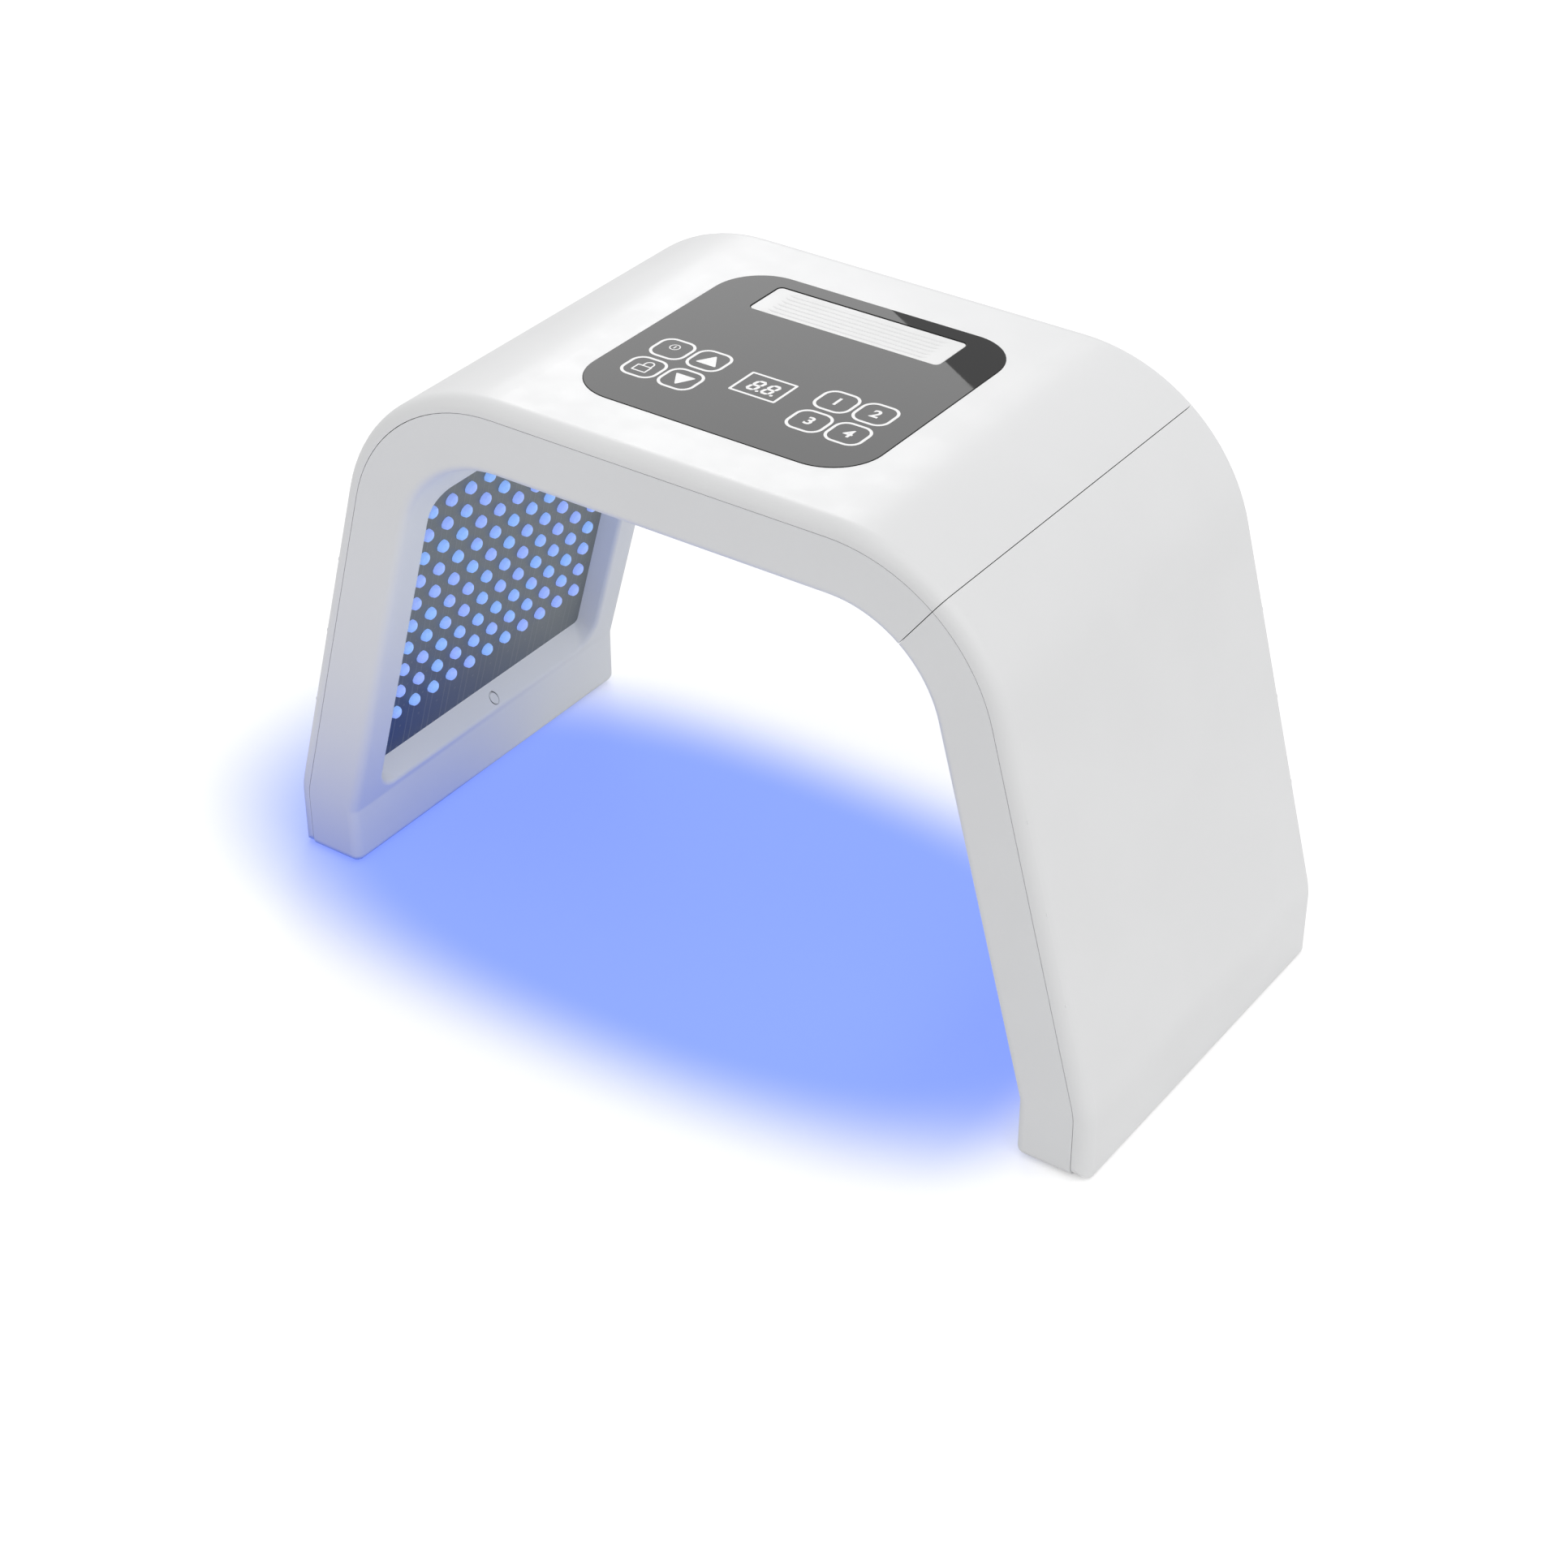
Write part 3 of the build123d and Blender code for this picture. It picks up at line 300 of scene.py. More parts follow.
@dataclass(frozen=True)
class Glossy(Finish):
    """Smooth tinted sheet with faint wipe marks in its gloss."""

    refraction: float = 1.27
    wipe_size: float = 6.0
    wipe_layers: float = 4.0
    wipe_stretch: Triple = (0.3, 1.0, 1.0)
    wipe_turn: Triple = (0.0, 0.0, 0.5)
    wipe_band: Pair = (0.35, 0.75)
    wipe_haze: float = 0.012

    def surface(self, wiring: Wiring, shader: bpy.types.Node) -> None:
        """Adds wipe marks and the sheet's gloss.

        Args:
            wiring: The material's nodes.
            shader: The material's shader.
        """
        place = wiring.object_place()
        wiped = wiring.node(
            "ShaderNodeMapping",
            {"Vector": place, "Scale": self.wipe_stretch, "Rotation": self.wipe_turn},
        ).outputs[0]
        marks = wiring.ramp(
            wiring.noise(wiped, self.wipe_size, self.wipe_layers), *self.wipe_band,
            self.roughness, self.roughness + self.wipe_haze,
        )
        wiring.tree.links.new(marks, shader.inputs["Roughness"])
        shader.inputs["IOR"].default_value = self.refraction


@dataclass(frozen=True)
class Ink(Finish):
    """Screen-printed ink with a fine mesh mark and a faint painted white glow."""

    mesh_size: float = 0.5
    mesh_shade: float = 0.96
    # Strength of the painted white glow that brightens the print.
    lift: float = 0.08

    def surface(self, wiring: Wiring, shader: bpy.types.Node) -> None:
        """Adds the mesh mark and a faint painted white glow that brightens the print.

        Args:
            wiring: The material's nodes.
            shader: The material's shader.
        """
        place = wiring.object_place()
        faint = wiring.ramp(wiring.noise(place, self.mesh_size), *NOISE_BAND, 0.0, 1.0)
        shaded = tuple(part * self.mesh_shade for part in self.colour)
        wiring.tree.links.new(
            wiring.mix(faint, self.colour, shaded), shader.inputs["Base Color"]
        )
        # Painted glow: the print gives off a little white light, so it reads brighter than its
        # lit colour.
        shader.inputs["Emission Color"].default_value = (1.0, 1.0, 1.0, 1.0)
        shader.inputs["Emission Strength"].default_value = self.lift


@dataclass(frozen=True)
class BoardMask(Finish):
    """A lamp board's dark mask with tracks between the lamps and plated holes, and painted blue
    pool light low on the legs.
    """

    pitch: float = 13.45
    track: float = 0.45
    track_colour: Colour = (0.25, 0.265, 0.255)
    # Painted blue pool light: the darker, bluer colour that the mask turns low on the legs, and
    # the lean and reach of that patch.
    cast: Colour = (0.03, 0.06, 0.15)
    cast_lean: float = 0.48
    cast_reach: Pair = (0.0, 108.0)
    turn: Triple = (0.0, 0.0, 0.0)
    place: Triple = (0.0, 0.0, 0.0)
    track_place: float = 0.31
    track_share: float = 0.35
    track_depth: float = 0.035
    hole: Pair = (0.5, 0.8)
    fibre: float = 1.6
    fibre_share: float = 0.12
    fibre_shade: float = 1.25

    def surface(self, wiring: Wiring, shader: bpy.types.Node) -> None:
        """Adds the tracks, the plated holes, faint fibres and painted blue pool light, which
        makes the mask darker and bluer low on the legs.

        Args:
            wiring: The material's nodes.
            shader: The material's shader.
        """
        flat = wiring.object_place(Vector(self.turn), Vector(self.place) * MM)
        parts = wiring.node("ShaderNodeSeparateXYZ", {0: flat}).outputs
        half = self.pitch * MM / 2
        across = wiring.math("PINGPONG", parts[0], half)
        along = wiring.math("PINGPONG", wiring.math("ADD", parts[1], half), half)
        aside = wiring.math("ABSOLUTE", wiring.math("SUBTRACT", across, self.track_place * half))
        track = wiring.ramp(aside, 0.5 * self.track * MM, self.track * MM, 1.0, 0.0)
        reach = wiring.math("SUBTRACT", half, across)
        squares = [wiring.math("POWER", part, 2.0) for part in (reach, along)]
        away = wiring.math("SQRT", wiring.math("ADD", *squares))
        rim = wiring.ramp(away, self.hole[0] * MM, self.hole[1] * MM, 1.0, 0.0)
        lines = wiring.math("MAXIMUM", track, rim)
        fibre = wiring.ramp(wiring.noise(flat, self.fibre), *NOISE_BAND, 0.0, self.fibre_share)
        dust = tuple(part * self.fibre_shade for part in self.colour)
        base = wiring.mix(fibre, self.colour, dust)
        # Painted blue pool light: the mask is blended toward a darker, bluer colour low on the
        # legs, most at the front of each foot.
        share = wiring.near_pool(wiring.object_place(), self.cast_lean, *self.cast_reach)
        base = wiring.mix(share, base, self.cast)
        links = wiring.tree.links
        links.new(
            wiring.mix(wiring.math("MULTIPLY", lines, self.track_share), base, self.track_colour),
            shader.inputs["Base Color"],
        )
        links.new(wiring.bump(lines, self.track_depth), shader.inputs["Normal"])


@dataclass(frozen=True)
class Resin(Finish):
    """Tinted lamp resin that glows, each lamp a little bluer or more violet."""

    violet: Colour = (0.215, 0.3, 0.585)
    glow: Colour = (0.185, 0.32, 0.65)
    violet_glow: Colour = (0.21, 0.29, 0.645)
    glow_strength: float = 1.0
    hue_size: float = 17.0
    hue_layers: float = 1.0
    hue_band: Pair = (0.4, 0.6)
    ripple_size: float = 1.5
    ripple_depth: float = 0.12

    def surface(self, wiring: Wiring, shader: bpy.types.Node) -> None:
        """Adds the change of hue from lamp to lamp and the glow.

        Args:
            wiring: The material's nodes.
            shader: The material's shader.
        """
        place = wiring.object_place()
        lumps = wiring.noise(place, self.hue_size, self.hue_layers)
        hue = wiring.ramp(lumps, *self.hue_band, 0.0, 1.0)
        ripple = wiring.bump(wiring.noise(place, self.ripple_size), self.ripple_depth)
        links = wiring.tree.links
        links.new(wiring.mix(hue, self.colour, self.violet), shader.inputs["Base Color"])
        links.new(ripple, shader.inputs["Normal"])
        links.new(wiring.mix(hue, self.glow, self.violet_glow), shader.inputs["Emission Color"])
        shader.inputs["Emission Strength"].default_value = self.glow_strength


@dataclass(frozen=True)
class Metal(Finish):
    """Drawn steel with fine streaks."""

    stretch: Triple = (1.0, 0.04, 1.0)
    streak: float = 0.4
    streak_layers: float = 3.0
    streak_depth: float = 0.0015
    gloss_change: Pair = (-0.06, 0.08)

    def surface(self, wiring: Wiring, shader: bpy.types.Node) -> None:
        """Adds the streaks.

        Args:
            wiring: The material's nodes.
            shader: The material's shader.
        """
        place = wiring.object_place()
        drawn = wiring.node(
            "ShaderNodeMapping", {"Vector": place, "Scale": self.stretch}
        ).outputs[0]
        streaks = wiring.noise(drawn, self.streak, self.streak_layers)
        gloss = wiring.ramp(
            streaks, *NOISE_BAND, *(self.roughness + change for change in self.gloss_change)
        )
        links = wiring.tree.links
        links.new(gloss, shader.inputs["Roughness"])
        links.new(wiring.bump(streaks, self.streak_depth), shader.inputs["Normal"])
        shader.inputs["Metallic"].default_value = 1.0


@dataclass(frozen=True)
class Pebbled(Finish):
    """Rubber, foam or grained black plastic: pebbles of one size."""

    pebble: float = 0.6
    depth: float = 0.05
    edge_band: Pair = (0.2, 0.9)
    edge_shade: float = 1.3

    def surface(self, wiring: Wiring, shader: bpy.types.Node) -> None:
        """Adds the pebbles.

        Args:
            wiring: The material's nodes.
            shader: The material's shader.
        """
        place = wiring.object_place()
        cells = wiring.node(
            "ShaderNodeTexVoronoi", {"Vector": place, "Scale": 1 / (self.pebble * MM)}
        ).outputs["Distance"]
        lighter = tuple(min(1.0, part * self.edge_shade) for part in self.colour)
        links = wiring.tree.links
        links.new(
            wiring.mix(wiring.ramp(cells, *self.edge_band, 0.0, 1.0), lighter, self.colour),
            shader.inputs["Base Color"],
        )
        links.new(wiring.bump(cells, self.depth), shader.inputs["Normal"])


WHITE_SHELL = Moulding("white outer moulding", (0.86, 0.863, 0.868), 0.33)
WHITE_LINER = Moulding("white inner moulding", (0.845, 0.85, 0.858), 0.38)
VENT_WHITE = Moulding("white vent moulding", (0.88, 0.88, 0.88), 0.42, grain_depth=0.002)
PANEL_GLOSS = Glossy("dark gloss panel", (0.006, 0.006, 0.0065), 0.01)
SMOKED_COVER = Glossy("smoked display cover", (0.02, 0.02, 0.022), 0.08, 1.5)
WHITE_INK = Ink("white print", (0.93, 0.93, 0.93), 0.5)
DRIVER_MASK = BoardMask("green circuit board", (0.03, 0.12, 0.06), 0.35, pitch=5.0)
LAMP_RESIN = Resin("blue lamp resin", (0.19, 0.32, 0.6), 0.12)
BULK: dict[Bulk, Finish] = {
    Bulk.STEEL: Metal("drawn steel", (0.62, 0.62, 0.63), 0.3),
    Bulk.BLACK: Pebbled("black moulding", (0.022, 0.022, 0.024), 0.42, 0.5, 0.01),
    Bulk.RUBBER: Pebbled("grey rubber", (0.06, 0.06, 0.062), 0.75, 0.7, 0.05),
    Bulk.FOAM: Pebbled("grey foam", (0.2, 0.2, 0.21), 0.9, 0.9, 0.25),
}


# Meshes


def rounded(corners: Outline, radius: float, steps: int = 7) -> Outline:
    """An outline with its corners rounded.

    Args:
        corners: The sharp corners in order.
        radius: The radius of every corner.
        steps: The number of straight runs in each corner.

    Returns:
        The rounded outline.
    """
    made: Outline = []
    count = len(corners)
    for number, corner in enumerate(corners):
        here = Vector(corner)
        back = (Vector(corners[number - 1]) - here).normalized()
        ahead = (Vector(corners[(number + 1) % count]) - here).normalized()
        half = math.acos(max(-1.0, min(1.0, back.dot(ahead)))) / 2
        centre = here + (back + ahead).normalized() * (radius / math.sin(half))
        first = here + back * (radius / math.tan(half)) - centre
        last = here + ahead * (radius / math.tan(half)) - centre
        turn = math.atan2(first.x * last.y - first.y * last.x, first.dot(last))
        for step in range(steps + 1):
            spot = Matrix.Rotation(turn * step / steps, 2) @ first + centre
            made.append((spot.x, spot.y))
    return made


def rectangle(
    width: float, length: float, radius: float, middle: Pair = (0.0, 0.0), steps: int = 7
) -> Outline:
    """A rectangle with rounded corners.

    Args:
        width: Its size along X.
        length: Its size along Y.
        radius: The radius of its corners.
        middle: Its middle.
        steps: The number of straight runs in each corner.

    Returns:
        The outline.
    """
    x, y = middle
    w, h = width / 2, length / 2
    corners = [(x - w, y - h), (x + w, y - h), (x + w, y + h), (x - w, y + h)]
    return rounded(corners, radius, steps)


def ring(radius: float, middle: Pair, steps: int = 32) -> Outline:
    """A circle as an outline.

    Args:
        radius: Its radius.
        middle: Its middle.
        steps: The number of straight runs.

    Returns:
        The outline.
    """
    turns = [math.tau * step / steps for step in range(steps)]
    return [(middle[0] + radius * math.cos(t), middle[1] + radius * math.sin(t)) for t in turns]


def mended(mesh: bpy.types.Mesh, sharp: float = 30.0) -> bpy.types.Mesh:
    """Closes a mesh's seams, turns its faces outwards and sets its smooth shading.

    Args:
        mesh: The mesh to mend.
        sharp: The angle above which an edge stays sharp, in degrees.

    Returns:
        The same mesh.
    """
    shape = bmesh.new()
    shape.from_mesh(mesh)
    bmesh.ops.remove_doubles(shape, verts=shape.verts, dist=WELD_REACH * MM)
    bmesh.ops.recalc_face_normals(shape, faces=shape.faces)
    shape.to_mesh(mesh)
    shape.free()
    mesh.shade_smooth()
    mesh.set_sharp_from_angle(angle=math.radians(sharp))
    for side in mesh.polygons:
        if abs(side.normal.z) > LEVEL_SHARE:
            side.use_smooth = False
    return mesh


def piece(name: str, mesh: bpy.types.Mesh, finish: Finish) -> bpy.types.Object:
    """An object at the origin that shows a mesh in a finish.

    Args:
        name: The piece's name.
        mesh: Its mesh, in place.
        finish: Its finish.

    Returns:
        The object.
    """
    made = bpy.data.objects.new(name, mesh)
    bpy.context.scene.collection.objects.link(made)
    mesh.materials.clear()
    mesh.materials.append(finish.material())
    return made


def evaluated(holder: bpy.types.Object) -> bpy.types.Mesh:
    """The plain mesh of an object with its modifiers or curve settings worked out.

    Args:
        holder: The object.

    Returns:
        A new mesh.
    """
    state = bpy.context.evaluated_depsgraph_get()
    return bpy.data.meshes.new_from_object(holder.evaluated_get(state))


def curve_mesh(curve: bpy.types.Curve, place: Matrix) -> bpy.types.Mesh:
    """A curve or a text turned into a closed mesh in its place.

    Args:
        curve: The curve's data, which is removed.
        place: Where its mesh goes.

    Returns:
        The mesh.
    """
    holder = bpy.data.objects.new(curve.name, curve)
    bpy.context.scene.collection.objects.link(holder)
    mesh = evaluated(holder)
    bpy.data.objects.remove(holder)
    bpy.data.curves.remove(curve)
    mesh.transform(place)
    return mended(mesh)


def plate(
    name: str, outlines: list[Outline], low: float, high: float, bevel: float = 0.0
) -> bpy.types.Mesh:
    """A flat plate from outlines, where one inside another is a hole.

    Args:
        name: The mesh's name.
        outlines: The outlines.
        low: The height of its underside.
        high: The height of its top.
        bevel: The rounding of its edges.

    Returns:
        The mesh.
    """
    curve = bpy.data.curves.new(name, "CURVE")
    curve.dimensions = "2D"
    curve.fill_mode = "BOTH"
    curve.extrude = ((high - low) / 2 - bevel) * MM
    curve.bevel_depth = bevel * MM
    curve.bevel_resolution = 2
    curve.offset = -bevel * MM
    for outline in outlines:
        line = curve.splines.new("POLY")
        line.points.add(len(outline) - 1)
        for knot, (x, y) in zip(line.points, outline):
            knot.co = (x * MM, y * MM, 0.0, 1.0)
        line.use_cyclic_u = True
    return curve_mesh(curve, Matrix.Translation((0.0, 0.0, (low + high) / 2 * MM)))


def lathe(profile: Outline, sides: int) -> bpy.types.Mesh:
    """A turned shape round Z, closed at both ends.

    Args:
        profile: Radius and height from the lowest point to the highest.
        sides: The number of sides.

    Returns:
        The mesh.
    """
    shape = bmesh.new()
    loops = []
    for radius, height in profile:
        turns = [math.tau * side / sides for side in range(sides)]
        loops.append([
            shape.verts.new(
                (radius * math.cos(t) * MM, radius * math.sin(t) * MM, height * MM)
            )
            for t in turns
        ])
    for lower, upper in zip(loops, loops[1:]):
        for side in range(sides):
            after = (side + 1) % sides
            shape.faces.new((lower[side], lower[after], upper[after], upper[side]))
    shape.faces.new(list(reversed(loops[0])))
    shape.faces.new(loops[-1])
    mesh = bpy.data.meshes.new("turned")
    shape.to_mesh(mesh)
    shape.free()
    return mended(mesh)


class GridRepeat:
    """A node tree that sets copies of a shape on a grid and lays the grid on a plane."""

    def __init__(self) -> None:
        """Makes the tree, with a named input for each size."""
        tree = bpy.data.node_groups.new("shapes on a grid", "GeometryNodeTree")
        self.tree = tree
        face = tree.interface
        kinds = {
            "Shape": "NodeSocketGeometry",
            "Columns": "NodeSocketInt",
            "Rows": "NodeSocketInt",
            "Column pitch": "NodeSocketFloat",
            "Row pitch": "NodeSocketFloat",
            "Turn": "NodeSocketVector",
            "Place": "NodeSocketVector",
            "Finish": "NodeSocketMaterial",
        }
        self.sockets = {
            name: face.new_socket(name, in_out="INPUT", socket_type=kind).identifier
            for name, kind in kinds.items()
        }
        face.new_socket("Repeated", in_out="OUTPUT", socket_type="NodeSocketGeometry")
        wiring = Wiring(tree)
        given = wiring.node("NodeGroupInput").outputs
        spans = {
            axis: wiring.math(
                "MULTIPLY", wiring.math("SUBTRACT", given[count], 1.0), given[pitch]
            )
            for axis, count, pitch in (
                ("Size X", "Columns", "Column pitch"), ("Size Y", "Rows", "Row pitch")
            )
        }
        grid = wiring.node(
            "GeometryNodeMeshGrid",
            {**spans, "Vertices X": given["Columns"], "Vertices Y": given["Rows"]},
        )
        spots = wiring.node("GeometryNodeMeshToPoints", {"Mesh": grid.outputs["Mesh"]})
        copies = wiring.node(
            "GeometryNodeInstanceOnPoints",
            {"Points": spots.outputs[0], "Instance": given["Shape"]},
        )
        turn = wiring.node("FunctionNodeEulerToRotation", {0: given["Turn"]})
        laid = wiring.node(
            "GeometryNodeTransform",
            {
                "Geometry": copies.outputs[0],
                "Translation": given["Place"],
                "Rotation": turn.outputs[0],
            },
        )
        real = wiring.node("GeometryNodeRealizeInstances", {0: laid.outputs[0]})
        dressed = wiring.node(
            "GeometryNodeSetMaterial",
            {"Geometry": real.outputs[0], "Material": given["Finish"]},
        )
        wiring.node("NodeGroupOutput", {0: dressed.outputs[0]})

    def build(
        self, name: str, shape: bpy.types.Mesh, finish: Finish, counts: tuple[int, int],
        pitches: Pair, place: Matrix,
    ) -> bpy.types.Object:
        """One piece made of copies of a shape.

        Args:
            name: The piece's name.
            shape: The mesh that is repeated.
            finish: The piece's finish.
            counts: Columns and rows.
            pitches: The distances between columns and between rows.
            place: The grid's plane, in metres.

        Returns:
            The piece as a plain mesh.
        """
        made = piece(name, shape, finish)
        modifier = made.modifiers.new("grid", "NODES")
        modifier.node_group = self.tree
        values = {
            "Columns": counts[0],
            "Rows": counts[1],
            "Column pitch": pitches[0] * MM,
            "Row pitch": pitches[1] * MM,
            "Turn": tuple(place.to_euler()),
            "Place": tuple(place.translation),
            "Finish": finish.material(),
        }
        for key, value in values.items():
            modifier[self.sockets[key]] = value
        mesh = evaluated(made)
        made.modifiers.clear()
        made.data = mesh
        return made


def dress(nodes: dict[str, Finish]) -> None:
    """Gives CAD nodes their finishes.

    Args:
        nodes: The finish of each node.
    """
    for name, finish in nodes.items():
        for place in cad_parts[name].material_slots:
            place.material = finish.material()
        report.info("dressed %s in %s", name, finish.name)


def plane(origin: Vector, across: Vector, normal: Vector) -> Matrix:
    """A plane's place and turn.

    Args:
        origin: Its origin in millimetres.
        across: Its X direction.
        normal: Its Z direction.

    Returns:
        The matrix, in metres.
    """
    along = normal.cross(across)
    turn = Matrix((across, along, normal)).transposed().to_4x4()
    return Matrix.Translation(origin * MM) @ turn


# Sub-assemblies


@dataclass
class Housing:
    """The white outer shells, the inner liners and the plugs over their screws."""

    plug_share: float = 0.84

    def plugs(self) -> None:
        """Builds the plugs over the sills' screws, with a fine groove round each."""
        for side, body in (("left", Body.FRAME), ("wing", Body.WING)):
            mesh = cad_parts[f"screw_plug_{side}"].data.copy()
            spots = [corner.co for corner in mesh.vertices]
            middle = Vector([
                (min(spot[axis] for spot in spots) + max(spot[axis] for spot in spots)) / 2
                for axis in range(3)
            ])
            slim = Matrix.Diagonal((1.0, self.plug_share, self.plug_share, 1.0))
            mesh.transform(Matrix.Translation(middle) @ slim @ Matrix.Translation(-middle))
            made = piece(f"plug_{side}", mended(mesh), WHITE_LINER)
            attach(made, body.value)
            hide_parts(f"screw_plug_{side}")
            report.info("built plug_%s", side)

    def build(self) -> None:
        """Builds the plugs and gives the housing its white mouldings."""
        self.plugs()
        dress({
            "crown_shell": WHITE_SHELL,
            "wing_shell": WHITE_SHELL,
            "crown_liner": WHITE_LINER,
            "wing_liner": WHITE_LINER,
        })


@dataclass
class LampBoards:
    """The lamp boards behind the windows and the domed lamps that stand on them."""

    repeat: GridRepeat
    inner_half: float = 180.6
    ankle: float = 29.471
    ceiling: float = 238.6
    splay: float = 15.0
    recess: float = 10.0
    pitch: float = 13.45
    columns: int = 11
    leg_rows: int = 10
    crown_rows: int = 11
    first_row: float = 39.2
    radius: float = 3.1
    foot: float = 1.2
    height: float = 3.35
    sides: int = 10
    turns: tuple[float, ...] = (30.0, 56.0, 78.0)
    mask_colour: Colour = (0.2, 0.215, 0.2)
    mask_roughness: float = 0.4

    def dome(self) -> bpy.types.Mesh:
        """One lamp: a short straight foot and a domed top.

        Returns:
            The mesh, standing on Z 0.
        """
        rise = (self.height - self.foot) / math.sin(math.radians(self.turns[-1]))
        profile = [(self.radius, 0.0), (self.radius, self.foot)]
        for turn in map(math.radians, self.turns):
            profile.append((self.radius * math.cos(turn), self.foot + rise * math.sin(turn)))
        return lathe(profile, self.sides)

    def leg_face(self, side: int) -> Matrix:
        """The face of a leg's board: X across the depth, Y up the leg.

        Args:
            side: -1 for the left leg and 1 for the folding leg.

        Returns:
            The plane.
        """
        lean = math.radians(self.splay)
        normal = Vector((-side * math.cos(lean), 0.0, -math.sin(lean)))
        origin = Vector((side * self.inner_half, 0.0, self.ankle)) - normal * self.recess
        return plane(origin, Vector((0.0, -side, 0.0)), normal)

    def crown_face(self) -> Matrix:
        """The face of the crown's board.

        Returns:
            The plane.
        """
        origin = Vector((0.0, 0.0, self.ceiling + self.recess))
        return plane(origin, Vector((0.0, 1.0, 0.0)), Vector((0.0, 0.0, -1.0)))

    def build(self) -> None:
        """Builds the lamps of the three boards and dresses the boards."""
        middle = self.first_row + (self.leg_rows - 1) / 2 * self.pitch
        up = Matrix.Translation((0.0, middle * MM, 0.0))
        fields = (
            ("left", Body.FRAME, self.leg_rows, self.leg_face(-1), up),
            ("crown", Body.FRAME, self.crown_rows, self.crown_face(), Matrix.Identity(4)),
            ("wing", Body.WING, self.leg_rows, self.leg_face(1), up),
        )
        for name, body, rows, face, shift in fields:
            start = face @ shift
            lamps = self.repeat.build(
                f"lamps_{name}", self.dome(), LAMP_RESIN, (self.columns, rows),
                (self.pitch, self.pitch), start,
            )
            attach(lamps, body.value)
            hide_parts(f"led_lenses_{name}")
            mask = BoardMask(
                f"lamp board mask {name}", self.mask_colour, self.mask_roughness,
                pitch=self.pitch,
                turn=tuple(start.to_euler()),
                place=tuple(start.translation / MM),
            )
            dress({f"led_board_{name}": mask})
            report.info("built lamps_%s: %d lamps", name, self.columns * rows)


@dataclass
class TouchPanel:
    """The gloss panel on the crown with its printed keys, display frame and signs."""

    repeat: GridRepeat
    width: float = 144.65
    length: float = 135.2
    corner: float = 24.0
    floor: float = 271.7
    top: float = 273.25
    print_top: float = 273.299
    edge: float = 0.25
    vent_width: float = 97.23
    vent_length: float = 24.5
    vent_corner: float = 2.65
    vent_y: float = 46.6
    vent_spare: float = 0.15
    vent_top: float = 272.95
    ridge_length: float = 82.0
    ridge_width: float = 2.7
    ridge_rise: float = 0.38
    ridge_pitch: float = 3.3
    ridge_end: float = 3.0
    ridge_tip: float = 0.15
    ridges: int = 6
    key: float = 17.8
    key_corner: float = 6.0
    line: float = 1.35
    key_pitch_x: float = 19.1
    key_pitch_y: float = 20.2
    group_x: float = 41.85
    row_y: float = -26.8
    display_width: float = 23.4
    display_length: float = 18.5
    display_y: float = -23.3
    display_line: float = 1.2
    display_corners: Pair = (0.8, 0.3)
    digit_width: float = 5.2
    digit_height: float = 9.4
    digit_pitch: float = 7.2
    digit_stroke: float = 1.45
    digit_lean: float = 10.0
    digit_y: float = -23.6
    digit_x: float = 0.3
    digit_gap: float = 0.08
    point_radius: float = 0.75
    point_shift: Pair = (1.1, 0.6)
    up_sign: tuple[Pair, ...] = ((-37.3, -20.2), (-26.7, -20.2), (-32.0, -11.6))
    down_sign: tuple[Pair, ...] = ((-37.4, -33.1), (-32.1, -41.9), (-27.1, -33.1))
    sign_corner: float = 0.5
    power_middle: Pair = (-51.6, -14.8)
    power_radii: Pair = (2.5, 2.0)
    power_bar: Pair = (0.32, 1.1)
    lock_middle: Pair = (-51.7, -38.3)
    lock_size: Pair = (7.4, 5.6)
    lock_line: float = 0.75
    lock_corners: Pair = (0.5, 0.2)
    shackle_shift: Pair = (0.9, 0.02)
    shackle_radii: Pair = (2.4, 1.7)
    shackle_rise: float = 1.6
    shackle_steps: int = 12
    numeral: float = 8.6
    numeral_weight: float = 0.24

    def sheet(self) -> None:
        """Builds the panel's sheet with the opening that the vent sits in."""
        outlines = [
            rectangle(self.width, self.length, self.corner, steps=20),
            rectangle(
                self.vent_width, self.vent_length, self.vent_corner, (0.0, self.vent_y)
            ),
        ]
        mesh = plate("panel_sheet", outlines, self.floor, self.top, self.edge)
        made = piece("panel_sheet", mesh, PANEL_GLOSS)
        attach(made, Body.FRAME.value)
        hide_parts("control_panel")
        report.info("built panel_sheet")

    def vent(self) -> None:
        """Builds the vent's face and the soft ridges that stand on it."""
        spare = 2 * self.vent_spare
        outline = rectangle(
            self.vent_width - spare, self.vent_length - spare, self.vent_corner - self.vent_spare,
            (0.0, self.vent_y),
        )
        face = plate("vent_face", [outline], self.floor, self.vent_top, self.edge)
        made = piece("vent_face", face, VENT_WHITE)
        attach(made, Body.FRAME.value)
        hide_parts("vent_grille")
        rod = bpy.data.curves.new("ridge", "CURVE")
        rod.dimensions = "3D"
        rod.bevel_depth = self.ridge_width / 2 * MM
        rod.use_fill_caps = True
        line = rod.splines.new("POLY")
        line.points.add(3)
        half = self.ridge_length / 2
        tip, full = self.ridge_tip, half - self.ridge_end
        stations = ((-half, tip), (-full, 1.0), (full, 1.0), (half, tip))
        for knot, (x, size) in zip(line.points, stations):
            knot.co = (x * MM, 0.0, 0.0, 1.0)
            knot.radius = size
        flat = Matrix.Diagonal((1.0, 1.0, 2 * self.ridge_rise / self.ridge_width, 1.0))
        place = Vector((0.0, self.vent_y, self.print_top - self.ridge_rise)) * MM
        made = self.repeat.build(
            "vent_ridges", curve_mesh(rod, flat), VENT_WHITE, (1, self.ridges),
            (1.0, self.ridge_pitch), Matrix.Translation(place),
        )
        self.place(made)

